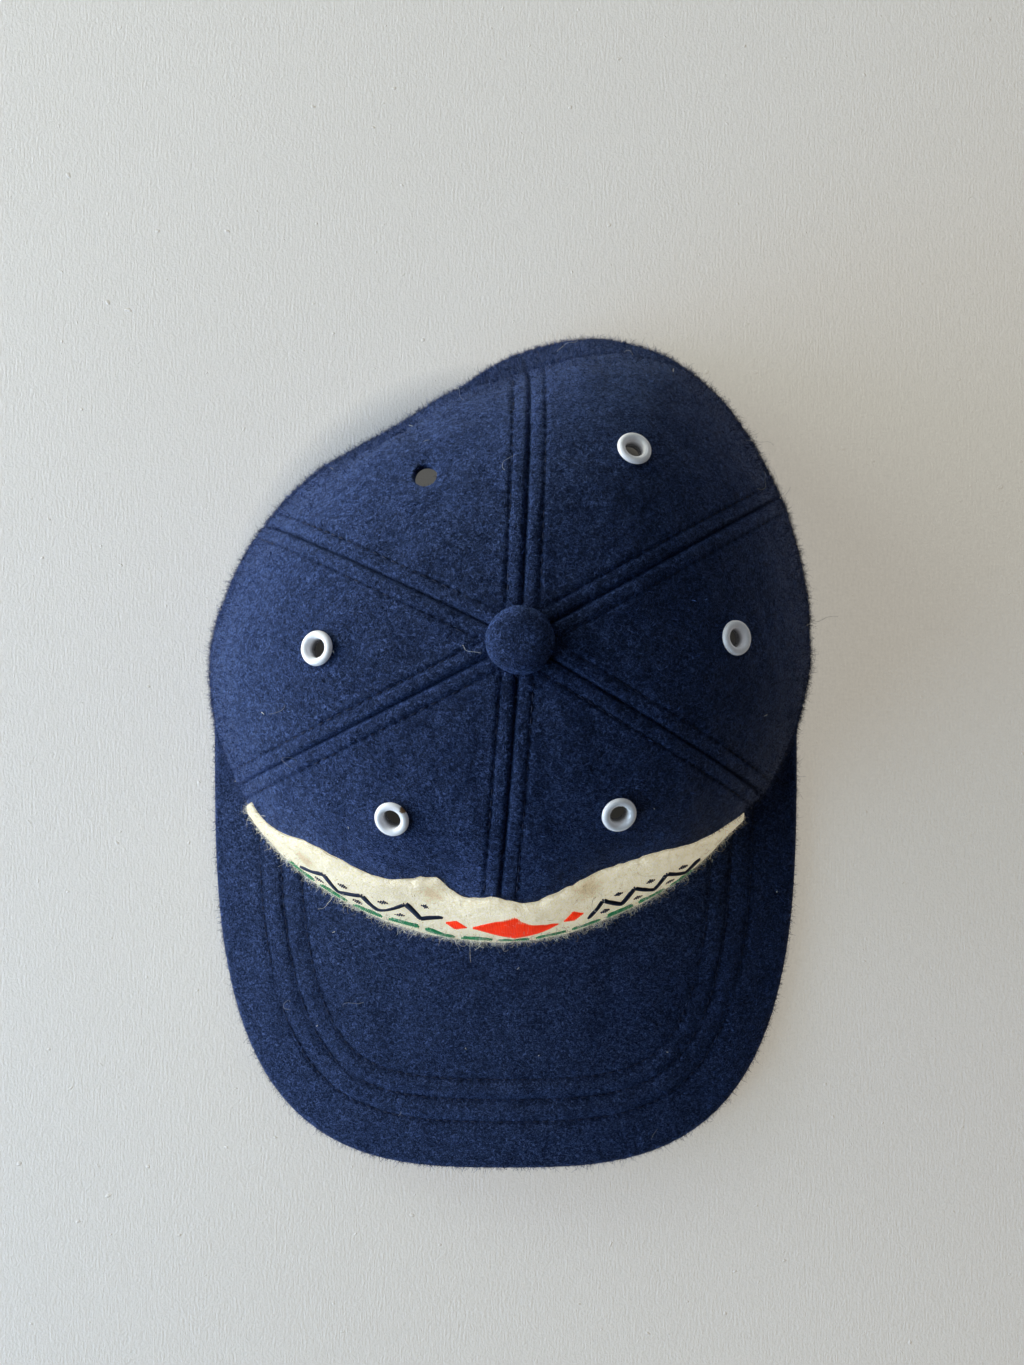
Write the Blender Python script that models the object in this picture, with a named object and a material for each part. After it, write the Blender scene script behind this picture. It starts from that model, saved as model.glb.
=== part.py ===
"""A wool baseball cap of six panels, lying on a flat surface as it would by itself.

Metres, +Z up. The brim points towards -Y and the button is on top. Angles go round
the crown from the middle of the front (-Y) towards +X, in degrees. Left and right
are as seen from the front, so right is +X. The whole cap is moved at the end so that
the origin lies under the middle of its box, on the surface that it rests on.
"""

import math
from typing import NamedTuple

import bmesh
import bpy
from mathutils import Matrix, Vector

# Crown
CROWN_HEIGHT = 0.107
HEM_HALF_WIDTH = 0.088
HEM_FRONT_REACH = 0.0838
HEM_REAR_REACH = 0.100
CROWN_SWAY = 0.004
PANEL_WALL = 0.0018
APEX_HOLE_RADIUS = 0.0034
FOLD_DEPTH = 0.0040
HEM_LIFT_RUN = 18.0

# Brim
BRIM_HALF_WIDTH = 0.0943
BRIM_REACH = 0.1637
BRIM_WIDEST_AT = 0.026
BRIM_SHOULDER = 0.030
BRIM_SQUARENESS = 3.30
BRIM_ARCH = 0.0133
BRIM_DROOP = 0.0025
BRIM_FOOT_WIDTH = 0.0025
BRIM_CLOTH = 0.0022
BRIM_TIP_ANGLE = 82.0
BRIM_TIP_MARGIN = 0.0016
BRIM_EDGE_ROUND = 0.0020
BRIM_EDGE_LIP = 0.0006

# Cream felt panel sewn over the lower front
FELT_WALL = 0.0013

# Sweatband
BAND_WIDTH = 0.030
BAND_WALL = 0.0012
BAND_FLOOR_GAP = 0.0012
BAND_JOIN_GAP = 0.0010

# Button and eyelets
BUTTON_RADIUS = 0.0085
BUTTON_HEIGHT = 0.0052
BUTTON_SHANK_RADIUS = 0.0024
BUTTON_WASHER_RADIUS = 0.0062
BUTTON_WASHER_THICKNESS = 0.0010
EYELET_RADIUS = 0.00455
EYELET_BORE_RADIUS = 0.00240
EYELET_METAL = 0.00040
EYELET_ROLL = 0.00125
EYELET_BACK_RADIUS = 0.00390
BARE_HOLE_RADIUS = 0.00310

# Gaps between neighbours
PIECE_GAP = 0.0003
FELT_GAP = 0.0004
BAND_GAP = 0.0003
BAND_FOLD_ROOM = 0.15
EYELET_BACK_GAP = 0.0007

# How finely the faceted solids are cut
PANEL_COLUMNS = 11
PANEL_ROWS = 16
FELT_COLUMNS = 31
FELT_ROWS = 9
BRIM_ROWS = 3
EDGE_ROWS = 3
BAND_ROWS = 6
EYELET_SIDES = 14
BUTTON_SIDES = 22


class Section(NamedTuple):
    """Shape of the crown at one angle, as shares of its named sizes."""

    angle: float
    reach: float
    lean: float
    flat_top: float
    steep_wall: float


SECTIONS = (
    Section(angle=0, reach=1.004, lean=0.000, flat_top=0.86, steep_wall=0.80),
    Section(angle=30, reach=0.968, lean=0.005, flat_top=0.86, steep_wall=0.78),
    Section(angle=60, reach=0.996, lean=0.020, flat_top=0.80, steep_wall=0.72),
    Section(angle=90, reach=1.020, lean=0.020, flat_top=0.76, steep_wall=0.70),
    Section(angle=120, reach=1.030, lean=0.020, flat_top=0.76, steep_wall=0.68),
    Section(angle=150, reach=1.062, lean=-0.020, flat_top=0.80, steep_wall=0.58),
    Section(angle=165, reach=1.044, lean=-0.140, flat_top=0.80, steep_wall=0.55),
    Section(angle=180, reach=0.940, lean=-0.200, flat_top=0.82, steep_wall=0.55),
    Section(angle=195, reach=0.848, lean=-0.100, flat_top=0.82, steep_wall=0.58),
    Section(angle=210, reach=0.800, lean=-0.035, flat_top=0.80, steep_wall=0.62),
    Section(angle=240, reach=0.905, lean=0.025, flat_top=0.78, steep_wall=0.66),
    Section(angle=270, reach=1.010, lean=0.045, flat_top=0.78, steep_wall=0.70),
    Section(angle=300, reach=1.036, lean=0.035, flat_top=0.82, steep_wall=0.72),
    Section(angle=330, reach=1.024, lean=0.005, flat_top=0.86, steep_wall=0.78),
)


class Fold(NamedTuple):
    """A soft fold or dent; down is the share of the way from the apex to the hem."""

    angle: float
    down: float
    depth: float
    angle_width: float
    down_width: float


FOLDS = (
    Fold(angle=167, down=0.70, depth=-0.75, angle_width=16, down_width=0.09),
    Fold(angle=158, down=0.91, depth=0.45, angle_width=12, down_width=0.07),
    Fold(angle=179, down=0.92, depth=0.40, angle_width=8, down_width=0.10),
    Fold(angle=193, down=0.86, depth=-0.55, angle_width=9, down_width=0.12),
    Fold(angle=211, down=0.47, depth=0.85, angle_width=16, down_width=0.09),
    Fold(angle=341, down=0.46, depth=-0.80, angle_width=7, down_width=0.12),
    Fold(angle=1, down=0.48, depth=0.50, angle_width=9, down_width=0.12),
    Fold(angle=21, down=0.46, depth=-0.45, angle_width=9, down_width=0.12),
    Fold(angle=282, down=0.66, depth=-0.25, angle_width=10, down_width=0.10),
    Fold(angle=48, down=0.78, depth=-0.55, angle_width=10, down_width=0.15),
)


class Panel(NamedTuple):
    """One crown panel between two seams, with the place of its vent hole."""

    name: str
    seam_from: float
    seam_to: float
    vent_angle: float
    vent_down: float
    has_eyelet: bool


PANELS = (
    Panel("front_right", -4, 59, vent_angle=30, vent_down=0.312, has_eyelet=True),
    Panel("side_right", 59, 119, vent_angle=91, vent_down=0.345, has_eyelet=True),
    Panel("rear_right", 119, 177, vent_angle=149, vent_down=0.295, has_eyelet=True),
    Panel("rear_left", 177, 244, vent_angle=209, vent_down=0.350, has_eyelet=False),
    Panel("side_left", 244, 297, vent_angle=272, vent_down=0.300, has_eyelet=True),
    Panel("front_left", 297, 356, vent_angle=324.5, vent_down=0.323, has_eyelet=True),
)


class FeltEdge(NamedTuple):
    """A point of the felt panel's wavy upper edge, down from the apex to the hem."""

    angle: float
    down: float


FELT_EDGE = (
    FeltEdge(-59, 0.660),
    FeltEdge(-56, 0.668),
    FeltEdge(-52, 0.628),
    FeltEdge(-47, 0.545),
    FeltEdge(-40, 0.508),
    FeltEdge(-30, 0.488),
    FeltEdge(-20, 0.457),
    FeltEdge(-13, 0.472),
    FeltEdge(-5, 0.438),
    FeltEdge(3, 0.450),
    FeltEdge(10, 0.445),
    FeltEdge(24, 0.456),
    FeltEdge(34, 0.468),
    FeltEdge(44, 0.548),
    FeltEdge(50, 0.602),
    FeltEdge(54, 0.660),
)


def smooth_step(value):
    """0 below 0, 1 above 1, and an even rise between."""
    value = min(1.0, max(0.0, value))
    return value * value * (3 - 2 * value)


def catmull_rom(before, start, end, after, share):
    """Value between start and end on the smooth curve through all four."""
    return 0.5 * (
        2 * start
        + (end - before) * share
        + (2 * before - 5 * start + 4 * end - after) * share**2
        + (3 * start - before - 3 * end + after) * share**3
    )


def section_value(column, angle):
    """A column of SECTIONS at any angle, on a smooth closed curve."""
    angle %= 360
    count = len(SECTIONS)
    low = max(i for i in range(count) if SECTIONS[i].angle <= angle)
    start = SECTIONS[low].angle
    end = SECTIONS[(low + 1) % count].angle or 360
    rows = [SECTIONS[(low + step) % count] for step in (-1, 0, 1, 2)]
    values = [getattr(row, column) for row in rows]
    return catmull_rom(*values, (angle - start) / (end - start))


def felt_edge_down(angle):
    """How far down from the apex the felt's upper edge lies at an angle."""
    last = len(FELT_EDGE) - 1
    low = max((i for i in range(last) if FELT_EDGE[i].angle <= angle), default=0)
    rows = [FELT_EDGE[min(last, max(0, low + step))] for step in (-1, 0, 1, 2)]
    share = (angle - rows[1].angle) / (rows[2].angle - rows[1].angle)
    return catmull_rom(*(row.down for row in rows), share)


def bezier(values, share):
    """Cubic Bezier value of four numbers."""
    rest = 1 - share
    weights = (rest**3, 3 * rest**2 * share, 3 * rest * share**2, share**3)
    return sum(weight * value for weight, value in zip(weights, values))


def direction(angle):
    """Unit vector in the plan at an angle from the front."""
    turn = math.radians(angle)
    return Vector((math.sin(turn), -math.cos(turn), 0.0))


def signed(angle):
    """The angle between -180 and 180, so that the left side is negative."""
    return (angle + 180) % 360 - 180


def brim_under_height(x, y):
    """Height of the brim's under face, arched across and resting on its two sides."""
    foot = BRIM_HALF_WIDTH - BRIM_FOOT_WIDTH
    arch = BRIM_ARCH * (1 - (x / foot) ** 2)
    length = BRIM_REACH - HEM_FRONT_REACH
    droop = BRIM_DROOP * max(0.0, -y - HEM_FRONT_REACH) / length
    return max(0.0, arch - droop)


def brim_top_height(x, y):
    """Height of the brim's top face."""
    return brim_under_height(x, y) + 2 * BRIM_CLOTH + PIECE_GAP


def hem_radius(angle):
    """Plan radius of the crown's outer face at the hem."""
    plan = direction(angle)
    reach = HEM_FRONT_REACH if plan.y < 0 else HEM_REAR_REACH
    oval = 1 / math.hypot(plan.x / HEM_HALF_WIDTH, plan.y / reach)
    return oval * section_value("reach", angle)


def over_brim(angle):
    """1 over the brim, falling to 0 behind its tips."""
    return smooth_step(1 - (abs(signed(angle)) - BRIM_TIP_ANGLE) / HEM_LIFT_RUN)


def hem_height(angle, x, y):
    """Height of the hem: on the brim at the front, and on the surface behind it."""
    return (brim_top_height(x, y) + PIECE_GAP) * over_brim(angle)


def fold_depth(angle, down):
    """Push of the soft folds at a place on the crown, outwards."""
    total = 0.0
    for fold in FOLDS:
        across = signed(angle - fold.angle) / fold.angle_width
        along = (down - fold.down) / fold.down_width
        total += fold.depth * math.exp(-(across**2) - along**2)
    return FOLD_DEPTH * total


def crown_face(angle, down):
    """Point of the crown's outer face; down is 0 at the apex and 1 at the hem."""
    plan = direction(angle)
    hem = hem_radius(angle)
    foot = hem_height(angle, hem * plan.x, hem * plan.y)
    shoulder = foot + section_value("steep_wall", angle) * (CROWN_HEIGHT - foot)
    reaches = (
        0.0,
        section_value("flat_top", angle) * hem,
        (1 + section_value("lean", angle)) * hem,
        hem,
    )
    radius = bezier(reaches, down) + fold_depth(angle, down)
    height = bezier((CROWN_HEIGHT, CROWN_HEIGHT, shoulder, foot), down)
    sway = Vector((CROWN_SWAY * (height - foot) / (CROWN_HEIGHT - foot), 0.0, height))
    return radius * plan + sway


def crown_normal(angle, down):
    """Outward normal of the crown's face."""
    turn, step = 0.5, 0.004
    across = crown_face(angle + turn, down) - crown_face(angle - turn, down)
    low, high = max(step, down - step), min(1.0, down + step)
    along = crown_face(angle, high) - crown_face(angle, low)
    return along.cross(across).normalized()


def crown_offset(angle, down, offset):
    """Point at a distance outside the crown's face, or inside it if negative."""
    return crown_face(angle, down) + offset * crown_normal(angle, down)


def seam_angle(seam, down, margin):
    """Angle a small distance along the face from a seam."""
    reach = max(APEX_HOLE_RADIUS, (crown_face(seam, down).xy).length)
    return seam + math.degrees(margin / reach)


def apex_down(angle):
    """Share at which the crown's face starts, at the rim of the apex hole."""
    slope = 3 * section_value("flat_top", angle) * hem_radius(angle)
    return APEX_HOLE_RADIUS / slope


def spread(start, end, count):
    """Even steps from start to end, both included."""
    return [start + (end - start) * i / (count - 1) for i in range(count)]


def hem_stations():
    """Angles of the crown's columns all the way round, from the rear seam on."""
    rear = PANELS[3].seam_from
    angles = []
    for panel in PANELS:
        angles += spread(panel.seam_from, panel.seam_to, PANEL_COLUMNS)[:-1]
    return sorted((angle - rear) % 360 + rear for angle in angles) + [rear + 360]


def brim_stations():
    """Angles of the crown's columns over the brim, and half way between them."""
    angles = sorted(signed(angle) for angle in hem_stations()[:-1])
    angles += [(low + high) / 2 for low, high in zip(angles, angles[1:])]
    inner = sorted(angle for angle in angles if abs(angle) < BRIM_TIP_ANGLE - 1)
    return [-BRIM_TIP_ANGLE, *inner, BRIM_TIP_ANGLE]


def new_object(name, mesh, finish):
    """Object of a mesh, with its finish, linked to the scene and carried by the cap."""
    made = bpy.data.objects.new(name, mesh)
    bpy.context.scene.collection.objects.link(made)
    made.parent = bpy.data.objects["cap"]
    if finish is not None:
        mesh.materials.append(finish)
    return made


def mesh_from(name, points, faces):
    """Closed triangle mesh whose faces point out."""
    mesh = bpy.data.meshes.new(name)
    mesh.from_pydata([tuple(point) for point in points], [], faces)
    form = bmesh.new()
    form.from_mesh(mesh)
    bmesh.ops.triangulate(form, faces=form.faces)
    bmesh.ops.recalc_face_normals(form, faces=form.faces)
    form.to_mesh(mesh)
    form.free()
    mesh.shade_smooth()
    mesh.set_sharp_from_angle(angle=math.radians(40))
    return mesh


def wall_between(name, outer, inner, finish):
    """Closed wall between two grids of points, each a list of equal rows."""
    rows, columns = len(outer), len(outer[0])
    points = [point for grid in (outer, inner) for row in grid for point in row]

    def corner(side, row, column):
        return (side * rows + row) * columns + column

    faces = []
    for side in (0, 1):
        for row in range(rows - 1):
            for column in range(columns - 1):
                faces.append(
                    (
                        corner(side, row, column),
                        corner(side, row + 1, column),
                        corner(side, row + 1, column + 1),
                        corner(side, row, column + 1),
                    )
                )
    rim = [(0, column) for column in range(columns)]
    rim += [(row, columns - 1) for row in range(1, rows)]
    rim += [(rows - 1, column) for column in range(columns - 2, -1, -1)]
    rim += [(row, 0) for row in range(rows - 2, 0, -1)]
    for here, there in zip(rim, rim[1:] + rim[:1]):
        faces.append(
            (corner(0, *here), corner(0, *there), corner(1, *there), corner(1, *here))
        )
    return new_object(name, mesh_from(name, points, faces), finish)


def turned_points(profile, sides):
    """Points and faces of a profile of (radius, height) turned round +Z.

    A profile that starts and ends on the axis makes a solid, and any other is a ring.
    """
    points, loops = [], []
    for radius, height in profile:
        if radius == 0:
            loops.append([len(points)] * sides)
            points.append(Vector((0.0, 0.0, height)))
            continue
        loops.append([len(points) + side for side in range(sides)])
        for side in range(sides):
            turn = 2 * math.pi * side / sides
            points.append(
                Vector((radius * math.cos(turn), radius * math.sin(turn), height))
            )
    on_axis = profile[0][0] == 0
    following = loops[1:] if on_axis else loops[1:] + loops[:1]
    faces = []
    for loop, after in zip(loops, following):
        for side in range(sides):
            other = (side + 1) % sides
            ring = (loop[side], loop[other], after[other], after[side])
            faces.append(tuple(dict.fromkeys(ring)))
    return points, faces


def build_crown_panel(panel, finish):
    """Wool panel between two seams, with its vent hole cut through."""
    outer, inner = [], []
    for row in range(PANEL_ROWS):
        outer_row, inner_row = [], []
        for column in range(PANEL_COLUMNS):
            share = column / (PANEL_COLUMNS - 1)
            middle = panel.seam_from + share * (panel.seam_to - panel.seam_from)
            start = apex_down(middle)
            down = start + (1 - start) * row / (PANEL_ROWS - 1)
            low = seam_angle(panel.seam_from, down, PIECE_GAP / 2)
            high = seam_angle(panel.seam_to, down, -PIECE_GAP / 2)
            angle = low + share * (high - low)
            outer_row.append(crown_face(angle, down))
            inner_row.append(crown_offset(angle, down, -PANEL_WALL))
            if row == PANEL_ROWS - 1:
                for point in (outer_row[-1], inner_row[-1]):
                    point.z = hem_height(angle, point.x, point.y)
        outer.append(outer_row)
        inner.append(inner_row)
    made = wall_between("crown_" + panel.name, outer, inner, finish)
    cut_vent(made, panel)
    return made


def vent_frame(panel):
    """Matrix of the vent: its place on the outer face, with +Z out of the crown."""
    centre = crown_face(panel.vent_angle, panel.vent_down)
    normal = crown_normal(panel.vent_angle, panel.vent_down)
    return Matrix.Translation(centre) @ normal.to_track_quat("Z", "Y").to_matrix().to_4x4()


def cut_vent(made, panel):
    """Cuts the round vent hole through a panel."""
    hole = EYELET_BORE_RADIUS + EYELET_METAL + PIECE_GAP
    radius = hole if panel.has_eyelet else BARE_HOLE_RADIUS
    half = 3 * PANEL_WALL
    profile = ((0, -half), (radius, -half), (radius, half), (0, half))
    points, faces = turned_points(profile, EYELET_SIDES)
    name = "cutter_" + panel.name
    cutter = new_object(name, mesh_from(name, points, faces), None)
    cutter.matrix_local = vent_frame(panel)
    cutter.hide_render = True
    cutter.display_type = "WIRE"
    cut = made.modifiers.new("vent", "BOOLEAN")
    cut.operation = "DIFFERENCE"
    cut.object = cutter


def build_eyelet(panel, finish):
    """Enamelled metal eyelet: a rolled flange, a barrel and a turned-back rim."""
    bore, barrel = EYELET_BORE_RADIUS, EYELET_BORE_RADIUS + EYELET_METAL
    seat = PIECE_GAP
    top = seat + EYELET_ROLL
    back = -PANEL_WALL - EYELET_BACK_GAP
    crest = (bore + EYELET_RADIUS) / 2
    profile = (
        (barrel, seat),
        (EYELET_RADIUS, seat),
        (EYELET_RADIUS, seat + 0.40 * EYELET_ROLL),
        (crest, top),
        (bore, seat + 0.30 * EYELET_ROLL),
        (bore, back - EYELET_METAL),
        (EYELET_BACK_RADIUS, back - EYELET_METAL),
        (EYELET_BACK_RADIUS, back),
        (barrel, back),
    )
    points, faces = turned_points(profile, EYELET_SIDES)
    name = "eyelet_" + panel.name
    made = new_object(name, mesh_from(name, points, faces), finish)
    made.matrix_local = vent_frame(panel)
    return made


def build_button(finish):
    """Cloth-covered button, whose shank passes the apex hole to a washer inside."""
    seat = CROWN_HEIGHT + PIECE_GAP
    shank_end = CROWN_HEIGHT - PANEL_WALL - PIECE_GAP
    washer_end = shank_end - BUTTON_WASHER_THICKNESS
    dome = [
        (BUTTON_RADIUS * math.cos(turn) ** 0.75, seat + BUTTON_HEIGHT * math.sin(turn))
        for turn in spread(0.10, math.pi / 2 - 0.25, 6)
    ]
    profile = (
        (0, washer_end),
        (BUTTON_WASHER_RADIUS, washer_end),
        (BUTTON_WASHER_RADIUS, shank_end),
        (BUTTON_SHANK_RADIUS, shank_end),
        (BUTTON_SHANK_RADIUS, seat),
        (0.94 * BUTTON_RADIUS, seat),
        *dome,
        (0, seat + BUTTON_HEIGHT),
    )
    points, faces = turned_points(profile, BUTTON_SIDES)
    made = new_object("button", mesh_from("button", points, faces), finish)
    made.location = (CROWN_SWAY, 0, 0)
    return made


def build_felt_panel(finish):
    """Cream felt panel over the lower front, between its seams and down to the brim."""
    outer, inner = [], []
    for row in range(FELT_ROWS):
        outer_row, inner_row = [], []
        for angle in spread(FELT_EDGE[0].angle, FELT_EDGE[-1].angle, FELT_COLUMNS):
            edge = felt_edge_down(angle)
            down = edge + (1 - edge) * row / (FELT_ROWS - 1)
            outer_row.append(crown_offset(angle, down, FELT_GAP + FELT_WALL))
            inner_row.append(crown_offset(angle, down, FELT_GAP))
            if row == FELT_ROWS - 1:
                for point in (outer_row[-1], inner_row[-1]):
                    point.z = hem_height(angle, point.x, point.y)
        outer.append(outer_row)
        inner.append(inner_row)
    return wall_between("front_felt_panel", outer, inner, finish)


def wall_inner_point(angle, height, inset):
    """Point at a height, inset inside the crown's inner face; below the hem it drops."""
    low, high = 0.45, 1.0
    for _ in range(24):
        middle = (low + high) / 2
        above = crown_face(angle, middle).z > height
        low, high = (middle, high) if above else (low, middle)
    point = crown_offset(angle, low, -PANEL_WALL - inset)
    point.z = height
    return point


def band_foot(angle):
    """Height of the sweatband's lower edge, level with the brim's under face."""
    plan = hem_radius(angle) * direction(angle)
    return BAND_FLOOR_GAP + over_brim(angle) * brim_under_height(plan.x, plan.y)


def build_sweatband(finish):
    """Plain band inside the hem, with its ends meeting at the rear seam."""
    stations = hem_stations()
    join = math.degrees(BAND_JOIN_GAP / 2 / hem_radius(stations[0]))
    stations[0] += join
    stations[-1] -= join
    gap = BAND_GAP + BAND_FOLD_ROOM * FOLD_DEPTH
    outer, inner = [], []
    for row in range(BAND_ROWS):
        outer_row, inner_row = [], []
        for angle in stations:
            height = band_foot(angle) + BAND_WIDTH * (1 - row / (BAND_ROWS - 1))
            outer_row.append(wall_inner_point(angle, height, gap))
            inner_row.append(wall_inner_point(angle, height, gap + BAND_WALL))
        outer.append(outer_row)
        inner.append(inner_row)
    return wall_between("sweatband", outer, inner, finish)


def brim_edge_radius(angle):
    """Plan radius of the brim's outer edge, by halving steps along the direction."""
    plan = direction(angle)
    low, high = 0.0, 2 * BRIM_REACH
    for _ in range(40):
        middle = (low + high) / 2
        ahead = -middle * plan.y - BRIM_WIDEST_AT
        length = BRIM_REACH - BRIM_WIDEST_AT if ahead > 0 else BRIM_SHOULDER
        across = abs(middle * plan.x / BRIM_HALF_WIDTH) ** BRIM_SQUARENESS
        inside = across + abs(ahead / length) ** BRIM_SQUARENESS < 1
        low, high = (middle, high) if inside else (low, middle)
    return max(low, hem_radius(angle) + BRIM_TIP_MARGIN)


def brim_plan():
    """Grid of plan points from the brim's root, inside the hem, out round its edge.

    Returns rows of (point, share of the cloth's thickness that is left there).
    """
    columns = []
    for angle in brim_stations():
        plan = direction(angle)
        hem = hem_radius(angle)
        edge = brim_edge_radius(angle)
        rim = min(BRIM_EDGE_ROUND, (edge - hem) / 2)
        stops = [hem - PANEL_WALL, *spread(hem, edge - rim, BRIM_ROWS)]
        column = [(stop * plan, 1.0) for stop in stops]
        for turn in spread(0, math.pi / 2, EDGE_ROWS + 1)[1:]:
            stop = edge - rim * (1 - math.sin(turn))
            column.append((stop * plan, math.cos(turn)))
        columns.append(column)
    return list(zip(*columns))


def build_brim(top_finish, under_finish):
    """The brim's two cloth covers, which meet half way up its edge."""
    top, top_inside, under, under_inside = [], [], [], []
    for row in brim_plan():
        faces = ([], [], [], [])
        for plan, share in row:
            base = brim_under_height(plan.x, plan.y)
            lip = BRIM_EDGE_LIP + (BRIM_CLOTH - BRIM_EDGE_LIP) * share
            heights = (
                base + BRIM_CLOTH + PIECE_GAP + lip,
                base + BRIM_CLOTH + PIECE_GAP,
                base + BRIM_CLOTH,
                base + BRIM_CLOTH - lip,
            )
            for face, height in zip(faces, heights):
                face.append(Vector((plan.x, plan.y, height)))
        top.append(faces[0])
        top_inside.append(faces[1])
        under_inside.append(faces[2])
        under.append(faces[3])
    wall_between("brim_top_cloth", top, top_inside, top_finish)
    wall_between("brim_under_cloth", under_inside, under, under_finish)


def make_finish(name, colour, roughness, metallic=0.0):
    """Plain finish of one piece."""
    finish = bpy.data.materials.new(name)
    finish.use_nodes = True
    shader = finish.node_tree.nodes["Principled BSDF"]
    shader.inputs["Base Color"].default_value = (*colour, 1.0)
    shader.inputs["Roughness"].default_value = roughness
    shader.inputs["Metallic"].default_value = metallic
    return finish


def centre_cap():
    """Moves the cap so that the origin is under the middle of its box."""
    bpy.context.view_layer.update()
    graph = bpy.context.evaluated_depsgraph_get()
    corners = []
    for item in bpy.context.scene.objects:
        if item.type == "MESH" and not item.hide_render:
            seen = item.evaluated_get(graph)
            corners += [seen.matrix_world @ vertex.co for vertex in seen.data.vertices]
    low = Vector([min(corner[axis] for corner in corners) for axis in range(3)])
    high = Vector([max(corner[axis] for corner in corners) for axis in range(3)])
    middle = (low + high) / 2
    bpy.data.objects["cap"].location = (-middle.x, -middle.y, -low.z)


def main():
    """Builds the cap."""
    for item in list(bpy.data.objects):
        bpy.data.objects.remove(item)
    bpy.context.scene.collection.objects.link(bpy.data.objects.new("cap", None))

    wool = make_finish("navy_wool", (0.022, 0.036, 0.105), 0.95)
    felt = make_finish("cream_felt", (0.80, 0.76, 0.62), 0.95)
    enamel = make_finish("white_enamel", (0.86, 0.87, 0.90), 0.30)
    cotton = make_finish("navy_cotton", (0.020, 0.026, 0.060), 0.85)

    for panel in PANELS:
        build_crown_panel(panel, wool)
        if panel.has_eyelet:
            build_eyelet(panel, enamel)
    build_button(wool)
    build_felt_panel(felt)
    build_brim(wool, wool)
    build_sweatband(cotton)
    centre_cap()


main()
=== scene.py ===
"""Looks of a six-panel wool baseball cap that lies on a pale painted surface.

Metres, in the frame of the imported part: +Z is up, the brim points towards -Y and the
button is on top. Angles go round the crown from the middle of the front towards +X, in
degrees, and down is 0 at the apex and 1 at the hem. Left and right are as seen from
the front.
"""

import logging
import math
from collections.abc import Callable, Sequence
from dataclasses import dataclass, field, replace
from enum import Enum
from typing import NamedTuple

import bpy
import numpy as np
from mathutils import Matrix, Vector
from mathutils.kdtree import KDTree


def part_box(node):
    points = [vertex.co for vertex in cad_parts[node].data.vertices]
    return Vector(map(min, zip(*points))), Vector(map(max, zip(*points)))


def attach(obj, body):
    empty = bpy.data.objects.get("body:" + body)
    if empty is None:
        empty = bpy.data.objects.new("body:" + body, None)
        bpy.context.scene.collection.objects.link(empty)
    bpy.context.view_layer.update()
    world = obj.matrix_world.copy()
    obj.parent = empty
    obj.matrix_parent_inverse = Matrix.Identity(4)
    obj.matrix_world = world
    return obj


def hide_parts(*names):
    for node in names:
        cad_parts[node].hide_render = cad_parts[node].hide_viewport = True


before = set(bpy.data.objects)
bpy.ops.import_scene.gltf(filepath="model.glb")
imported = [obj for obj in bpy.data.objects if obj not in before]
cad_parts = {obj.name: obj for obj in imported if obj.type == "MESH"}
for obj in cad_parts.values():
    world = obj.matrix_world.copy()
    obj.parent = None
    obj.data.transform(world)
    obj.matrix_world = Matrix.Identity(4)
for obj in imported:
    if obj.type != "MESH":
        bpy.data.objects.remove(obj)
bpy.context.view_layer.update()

log = logging.getLogger("cap")
Array = np.ndarray
Colour = tuple[float, float, float]
Place = tuple[float, float, float]
Parts = tuple[Array, list[Array]]
Material, Object, Socket = bpy.types.Material, bpy.types.Object, bpy.types.NodeSocket
MM = 0.001
BODY = "root"


# Tables of the cap's main form, as shares of its named sizes


class Section(NamedTuple):
    """Shape of the crown at one angle."""

    angle: float
    reach: float
    lean: float
    flat_top: float
    steep_wall: float


SECTIONS = (
    Section(0, 1.004, 0.000, 0.86, 0.80),
    Section(30, 0.968, 0.005, 0.86, 0.78),
    Section(60, 0.996, 0.020, 0.80, 0.72),
    Section(90, 1.020, 0.020, 0.76, 0.70),
    Section(120, 1.030, 0.020, 0.76, 0.68),
    Section(150, 1.062, -0.020, 0.80, 0.58),
    Section(165, 1.044, -0.140, 0.80, 0.55),
    Section(180, 0.940, -0.200, 0.82, 0.55),
    Section(195, 0.848, -0.100, 0.82, 0.58),
    Section(210, 0.800, -0.035, 0.80, 0.62),
    Section(240, 0.905, 0.025, 0.78, 0.66),
    Section(270, 1.010, 0.045, 0.78, 0.70),
    Section(300, 1.036, 0.035, 0.82, 0.72),
    Section(330, 1.024, 0.005, 0.86, 0.78),
)


class Fold(NamedTuple):
    """A soft fold or dent of the crown."""

    angle: float
    down: float
    depth: float
    angle_width: float
    down_width: float


FOLDS = (
    Fold(167, 0.70, -0.75, 16, 0.09),
    Fold(158, 0.91, 0.45, 12, 0.07),
    Fold(179, 0.92, 0.40, 8, 0.10),
    Fold(193, 0.86, -0.55, 9, 0.12),
    Fold(211, 0.47, 0.85, 16, 0.09),
    Fold(341, 0.46, -0.80, 7, 0.12),
    Fold(1, 0.48, 0.50, 9, 0.12),
    Fold(21, 0.46, -0.45, 9, 0.12),
    Fold(282, 0.66, -0.25, 10, 0.10),
    Fold(48, 0.78, -0.55, 10, 0.15),
)


class EdgePoint(NamedTuple):
    """A point of the felt panel's upper edge."""

    angle: float
    down: float


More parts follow.
